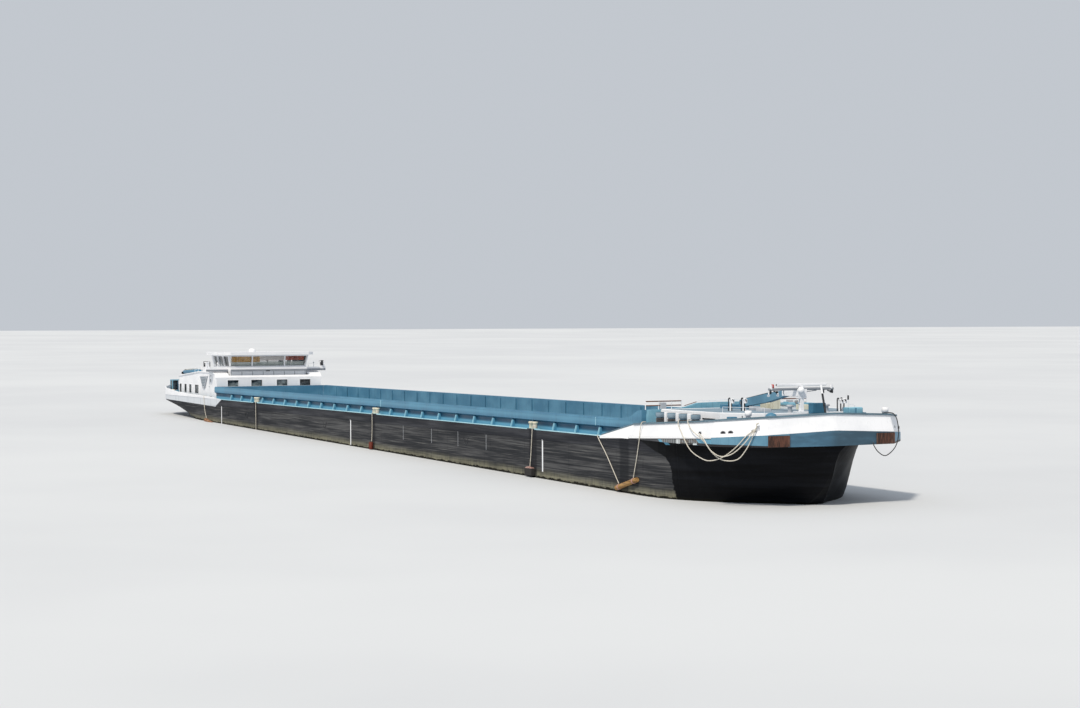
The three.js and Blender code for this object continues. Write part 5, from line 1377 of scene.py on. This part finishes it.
@dataclass
class Deckhouse:
    """Windows, doors, rails and the small boat of the aft deckhouse."""

    centres: tuple[float, ...] = (-15.65, -13.95, -12.3, -10.15)
    wide: tuple[float, ...] = (0.6, 0.75, 0.75, 1.15)
    up: Range = (4.2, 4.98)
    half: float = 4.92
    roof: tuple[Range, ...] = ((-16.2, 5.78), (-9.4, 6.24), (-4.9, 6.24), (-4.1, 6.1), (-3.72, 5.75))

    def build(self) -> None:
        """Makes the deckhouse's details."""
        self.windows()
        self.doors()
        self.panel()
        self.rails()
        self.boat()

    def windows(self) -> None:
        """Glazes and frames every window."""
        panes, frames = Shape(), Shape()
        for side in SIDES:
            for centre, wide in zip(self.centres, self.wide):
                a, b = centre - wide / 2, centre + wide / 2
                panes.box((a - 0.02, b + 0.02), ((self.half - 0.09) * side, (self.half - 0.06) * side), self.up)
                self.frame(frames, 1, (a, b), self.up, ((self.half - 0.1) * side, (self.half + 0.02) * side))
        for port in (-3.4, -1.2, 1.2, 3.4):
            panes.box((-3.83, -3.8), about(port, 0.52), (4.94, 5.51))
            self.frame(frames, 0, about(port, 0.5), (4.95, 5.5), (-3.84, -3.7))
        for port in (-2.6, 2.6):
            panes.box((-16.12, -16.09), about(port, 0.52), (4.49, 5.11))
            self.frame(frames, 0, about(port, 0.5), (4.5, 5.1), (-16.22, -16.08))
        panes.piece("house_panes", Finish.DARK_PANE)
        frames.piece("house_window_frames", Finish.WHITE)

    def frame(self, shape: Shape, axis: int, run: Range, up: Range, deep: Range) -> None:
        """Adds a window frame of four bars round an opening; axis is the one the wall faces."""
        bar = 0.05
        wide = (run[0] - bar, run[1] + bar)
        beside = ((run[0] - bar, run[0]), (run[1], run[1] + bar))
        level = ((up[0] - bar, up[0]), (up[1], up[1] + bar))
        for across, high in [(wide, part) for part in level] + [(part, up) for part in beside]:
            shape.box(*((across, deep, high) if axis == 1 else (deep, across, high)), 0.008)

    def doors(self) -> None:
        """Hangs handles and a porthole on the doors."""
        for side, name in ((1, "port"), (-1, "starboard")):
            metal = Shape()
            handle = [(-5.9, 4.97 * side, 4.86), (-5.9, 5.0 * side, 4.93), (-5.78, 5.0 * side, 4.93)]
            metal.tube(handle, 0.018, 8)
            metal.piece(f"door_fittings_{name}", Finish.ZINC, f"house_door_{name}")
            glass = Shape().turn([(0, 0.15), (0.012, 0.15)], (-5.68, 4.915 * side, 5.45), (0, side, 0), 24)
            glass.piece(f"door_porthole_{name}", Finish.DARK_PANE, f"house_door_{name}")

    def panel(self) -> None:
        """Puts a tapered duct on each side of the house; its grey is painted shade, as of a shadow on the white
        wall.
        """
        duct, slats = Shape(), Shape()
        for side in SIDES:
            # The duct's grey is painted shade
            duct.prism([(-8.86, 5.8), (-6.5, 5.84), (-7.45, 4.7), (-7.95, 4.7)], 1, 4.9 * side, 5.02 * side)
            for k in range(6):
                up = 4.95 + k * 0.14
                wide = 0.1 + (up - 4.7) * 0.75
                slats.box((-7.72 - wide, -7.68 + wide), (5.0 * side, 5.04 * side), (up, up + 0.05))
        duct.piece("shade_grey_vent_ducts", Finish.GREY)
        slats.piece("vent_slats", Finish.RAIL)

    def rails(self) -> None:
        """Runs railings round the roof and the stern, and dresses the roof's eaves, raft and stack."""
        rails, eaves = Shape(), Shape()
        for side in SIDES:
            posts = [-11.2 + k * 1.1 for k in range(5)]
            rails.railing([(fwd, 4.8 * side, along(self.roof, fwd)) for fwd in posts], 0.5, 0.018, 2)
            eaves.tube([(x, 4.98 * side, z - 0.06) for x, z in self.roof], 0.03, 8)
            rails.railing([(-21.2, 3.3 * side, 4.78), (-20.3, 4.55 * side, 4.72)], 0.3, 0.016, 1)
        rails.railing([(-21.35, -2.4 + k * 1.2, 4.8) for k in range(5)], 0.3, 0.016, 1)
        rails.piece("roof_and_stern_rails", Finish.WHITE)
        eaves.piece("roof_eaves", Finish.WHITE)
        raft = Shape()
        drum = [(-0.4, 0.1), (-0.36, 0.2), (0, 0.22), (0.36, 0.2), (0.4, 0.1)]
        raft.turn(drum, (-9.0, -4.25, 6.5), (1, 0, 0), 20)
        for fwd in (-9.25, -8.75):
            raft.box(about(fwd, 0.04), (-4.45, -4.05), (6.2, 6.34), 0.01)
        raft.piece("raft_canister", Finish.WHITE)
        stack = Shape().turn([(0, 0.24), (0.5, 0.24), (0.52, 0.2), (0.6, 0.2)], (-10.2, 3.2, 6.62), UP, 20)
        stack.piece("stack_collar", Finish.IRON)

    def boat(self) -> None:
        """Hangs the outboard motor on the small boat and ropes down its cover."""
        motor, rope = Shape(), Shape()
        motor.box((-16.15, -15.78), (-4.45, -3.95), (5.95, 6.32), 0.08)
        motor.box((-16.05, -15.82), (-4.75, -4.45), (5.88, 6.1), 0.04)
        motor.piece("outboard_motor", Finish.BLACK)
        for fwd in (-15.4, -14.6, -13.8, -13.0):
            half = 0.72 - abs(fwd + 14.2) * 0.09
            rim = 6.25 + (fwd + 14.2) * 0.03
            reaches = (-1.0, -0.5, 0.0, 0.5, 1.0)
            rope.tube([(fwd, -4.1 + half * 1.02 * t, rim + 0.155 - 0.14 * abs(t)) for t in reaches], 0.015, 6)
        rope.piece("cover_ropes", Finish.ROPE)


@dataclass
class SternDetails:
    """The stern bulwark's rail and brackets, the shelter's panes and the quarter's bollards."""

    rail: tuple[Range, ...] = (
        (-21.5, 0.95), (-18.0, 0.6), (-15.0, 0.36), (-10.0, 0.22), (-3.0, 0.12), (0.0, 0.03),
    )
    outline: tuple[Range, ...] = ((-18.0, 5.725), (-19.3, 5.45), (-20.4, 4.8), (-21.2, 3.8), (-21.5, 2.9))

    def build(self) -> None:
        """Makes the stern's details."""
        cap, ribs, cream, pane = Shape(), Shape(), Shape(), Shape()
        lead = [(fwd, HALF_BEAM) for fwd in (-2.0, -6.0, -10.0, -14.0)]
        for side in SIDES:
            line = [(x, (y - 0.05) * side, DECK + along(self.rail, x)) for x, y in [*lead, *self.outline]]
            cap.tube(line, 0.045, 10)
            for fwd in (-16.9, -15.3, -13.6, -11.9):
                top = DECK + along(self.rail, fwd)
                web = [(5.63 * side, DECK), (5.4 * side, DECK), (5.62 * side, top)]
                ribs.prism(web, 0, fwd - 0.02, fwd + 0.02)
            for shift in POST_SHIFTS:
                foot = (-17.5 + shift, 5.2 * side, DECK + 0.07)
                cream.turn([*BOLLARD[:3], (0.41, 0.165), (0.425, 0.14)], foot, UP, 20)
        cap.tube([(-21.45, -2.9, 4.85), (-21.45, 2.9, 4.85)], 0.045, 10)
        deck = Shape()
        stern = [(-21.38, 2.85), (-21.1, 3.7), (-20.35, 4.7), (-19.25, 5.35), (-18.0, 5.62), (-3.3, 5.62)]
        deck.prism(stern + [(x, -y) for x, y in reversed(stern)], 2, DECK - 0.01, DECK + 0.012)
        deck.piece("stern_deck", Finish.RAIL)
        pane.box((-19.3, -18.64), (-4.92, -4.91), (4.3, 5.2))
        pane.box((-19.32, -19.31), (-4.9, -4.19), (4.3, 5.2))
        cap.piece("stern_cap_rail", Finish.WHITE)
        ribs.piece("stern_brackets", Finish.WHITE)
        cream.piece("stern_bollard_paint", Finish.CREAM)
        pane.piece("shelter_panes", Finish.DARK_PANE)


@dataclass
class Wheelhouse:
    """The lifting wheelhouse: blinds, desk and chair, sills, side lamps and the dome on its roof."""

    front: float = -4.05
    half: float = 3.6
    slats: int = 6

    def build(self) -> None:
        """Makes the wheelhouse's details, which all ride on it."""
        self.blinds()
        self.inside()
        self.frames()
        self.lamps()
        self.roof()

    def blinds(self) -> None:
        """Hangs the front blinds behind the panes: golden, pale and red-brown over a grey-green lining."""
        for name, port, up, finish in (
            ("golden", (-3.42, -0.75), (7.12, 7.72), Finish.GOLDEN_SLAT),
            ("pale", (-0.72, 1.5), (7.24, 7.72), Finish.SHADE_CLOTH),
            ("red", (1.53, 3.42), (7.26, 7.72), Finish.RED_SLAT),
            ("lining", (-3.42, 3.42), (6.7, 7.15), Finish.LINING),
        ):
            shape = Shape()
            for k in range(self.slats):
                low = up[0] + (up[1] - up[0]) * k / self.slats
                lean = (low - 6.75) * 0.2
                high = low + (up[1] - up[0]) / self.slats - 0.012
                shape.box((-4.26 + lean, -4.245 + lean), port, (low, high))
            shape.piece(f"blind_{name}", finish, "wheelhouse")

    def inside(self) -> None:
        """Furnishes the room with a desk with screens and a chair."""
        desk, dark = Shape(), Shape()
        desk.box((-5.5, -4.85), (-2.2, 2.2), (5.62, 6.5), 0.03)
        desk.box((-6.4, -5.5), (1.2, 2.2), (5.62, 6.4), 0.03)
        desk.piece("helm_desk", Finish.MAHOGANY, "wheelhouse")
        for port in (-1.6, -0.8, 0.0, 0.8, 1.6):
            dark.box((-5.12, -5.04), about(port, 0.25), (6.52, 6.86), 0.01)
        dark.box((-6.6, -6.1), (-0.28, 0.28), (6.1, 6.25), 0.04)
        dark.box((-6.72, -6.58), (-0.28, 0.28), (6.2, 7.0), 0.04)
        dark.tube([(-6.35, 0, 5.62), (-6.35, 0, 6.12)], 0.06, 10)
        dark.turn([(-0.02, 0.24), (0.02, 0.24)], (-5.52, 0, 6.3), (1, 0, 0.3), 24)
        dark.piece("screens_and_chair", Finish.BLACK, "wheelhouse")

    def frames(self) -> None:
        """Runs sills round the walls, rails on the wings and the shaded fascia with its lamp box in front."""
        sill, ledge = Shape(), Shape()
        sill.box((self.front - 0.02, self.front + 0.04), (-self.half, self.half), (6.69, 6.745), 0.01)
        for side in SIDES:
            sill.box((-9.1, -4.05), (3.6 * side, 3.63 * side), (6.69, 6.745), 0.01)
            edge = [(-5.68, 5.6 * side, 6.6), (-4.57, 5.6 * side, 6.6)]
            ledge.railing([(-5.66, 3.9 * side, 6.6), (-5.66, 4.9 * side, 6.6), *edge], 0.32, 0.014, 1)
        sill.piece("wheelhouse_sills", Finish.GREY, "wheelhouse")
        ledge.piece("wing_rails", Finish.WHITE, "wheelhouse")
        under = Shape().box((-3.76, -3.738), (-3.6, 3.6), (6.285, 6.46), 0.004)
        for side in SIDES:
            under.box((-4.56, -4.538), (3.62 * side, 5.66 * side), (6.285, 6.46), 0.004)
        for k in range(8):
            under.box((self.front - 0.01, self.front + 0.015), (-3.5 + k, -3.46 + k), (5.5, 6.26))
        under.piece("front_fascia", Finish.FASCIA, "wheelhouse")
        dark = Shape().box((-3.79, -3.732), (-0.3, 0.05), (6.26, 6.36), 0.008)
        dark.piece("front_lamp_box", Finish.BLACK, "wheelhouse")

    def lamps(self) -> None:
        """Lights the side lamps, green to starboard and red to port, in dark boxes."""
        boxes, posts = Shape(), Shape()
        lights = ((1, "port", Finish.RED, -4.95), (-1, "starboard", Finish.GREEN, -5.35))
        for side, name, finish, fwd in lights:
            port = 5.45 * side
            boxes.box((fwd - 0.2, fwd + 0.12), about(port, 0.16), (6.72, 7.2), 0.02)
            boxes.box((fwd + 0.1, fwd + 0.75), (port - 0.2 * side, port - 0.14 * side), (6.74, 7.18), 0.008)
            posts.tube([(fwd, port, 6.6), (fwd, port, 6.74)], 0.06, 8)
            posts.tube([(-4.65, 4.55 * side, 6.6), (-4.65, 4.55 * side, 7.0)], 0.03, 8)
            posts.ball((-4.65, 4.55 * side, 7.02), 0.08)
            lamp = [(0, 0.08), (0.02, 0.1), (0.2, 0.1), (0.22, 0.08)]
            shape = Shape().turn(lamp, (fwd + 0.2, port, 6.8), UP, 16)
            shape.piece(f"side_lamp_{name}", finish, "wheelhouse", "window_glass")
        boxes.piece("side_lamp_boxes", Finish.BLACK, "wheelhouse")
        posts.piece("side_lamp_posts", Finish.WHITE, "wheelhouse")

    def roof(self) -> None:
        """Rounds the dome and edges the roof."""
        white = Shape()
        dome = [(0, 0.3), (0.1, 0.325), (0.2, 0.3), (0.28, 0.2), (0.32, 0.07)]
        white.turn(dome, (-6.6, -0.7, 8.0), UP, 24)
        eave = [(-9.66, -3.86), (-9.36, -4.16), (-3.86, -4.16), (-3.5, -3.68)]
        eave += [(fwd, -port) for fwd, port in reversed(eave)] + eave[:1]
        white.tube([(*spot, 7.88) for spot in eave], 0.05, 8)
        white.piece("roof_dome", Finish.WHITE, "wheelhouse")


# The finishes of the CAD nodes that show as they are
CAD_FINISHES = {
    Finish.HULL: "hull_aft hull_engine_room hull_lift_well hull_fore wing_tank_port wing_tank_starboard",
    Finish.FLOOR: "double_bottom",
    Finish.COAMING: "coaming_port coaming_starboard",
    Finish.SIDE_DECK: "hold_end_fore fore_hatch_lid stern_shelter lift_column",
    Finish.TEAL: "hold_end_aft anchor_winch foremast_foot tender",
    Finish.BOW_BLUE: "foremast_arm",
    Finish.BAND: "bow_platform",
    Finish.RAIL: "bow_cap_rail",
    Finish.BOARD: "fender_board_port fender_board_starboard",
    Finish.WHITE: (
        "bow_bulwark fore_trunk foremast_head radar_scanner bow_staff stern_bulwark deckhouse_walls "
        "deckhouse_roof wheelhouse_roof deckhouse_door_port deckhouse_door_starboard wheelhouse_body "
        "wheelhouse_door"
    ),
    Finish.BLACK: "propeller_nozzle rudder_port rudder_starboard",
    Finish.BRONZE: "propeller",
    Finish.IRON: "engine_block lift_guide winch_drum",
    Finish.PANE: "wheelhouse_glass_front wheelhouse_glass_aft",
    Finish.DARK_PANE: "wheelhouse_glass_starboard wheelhouse_glass_port",
}


@dataclass
class CadFinishes:
    """Dresses the CAD nodes that show as they are."""

    table: dict[Finish, str] = field(default_factory=lambda: CAD_FINISHES)

    def build(self) -> None:
        """Gives every such node its finish."""
        for finish, nodes in self.table.items():
            dress(finish, *nodes.split())


def main() -> None:
    """Builds the barge's looks in order."""
    logging.basicConfig(level=logging.INFO, format="%(message)s")
    kinds = (
        Studio, RopesAndFenders, CadFinishes, SideDetails, CoamingDetails, Fairleads, Foredeck, Mast,
        Deckhouse, SternDetails, Wheelhouse,
    )
    for kind in kinds:
        log.info("building %s", kind.__name__)
        kind().build()


if __name__ == "__main__":
    main()
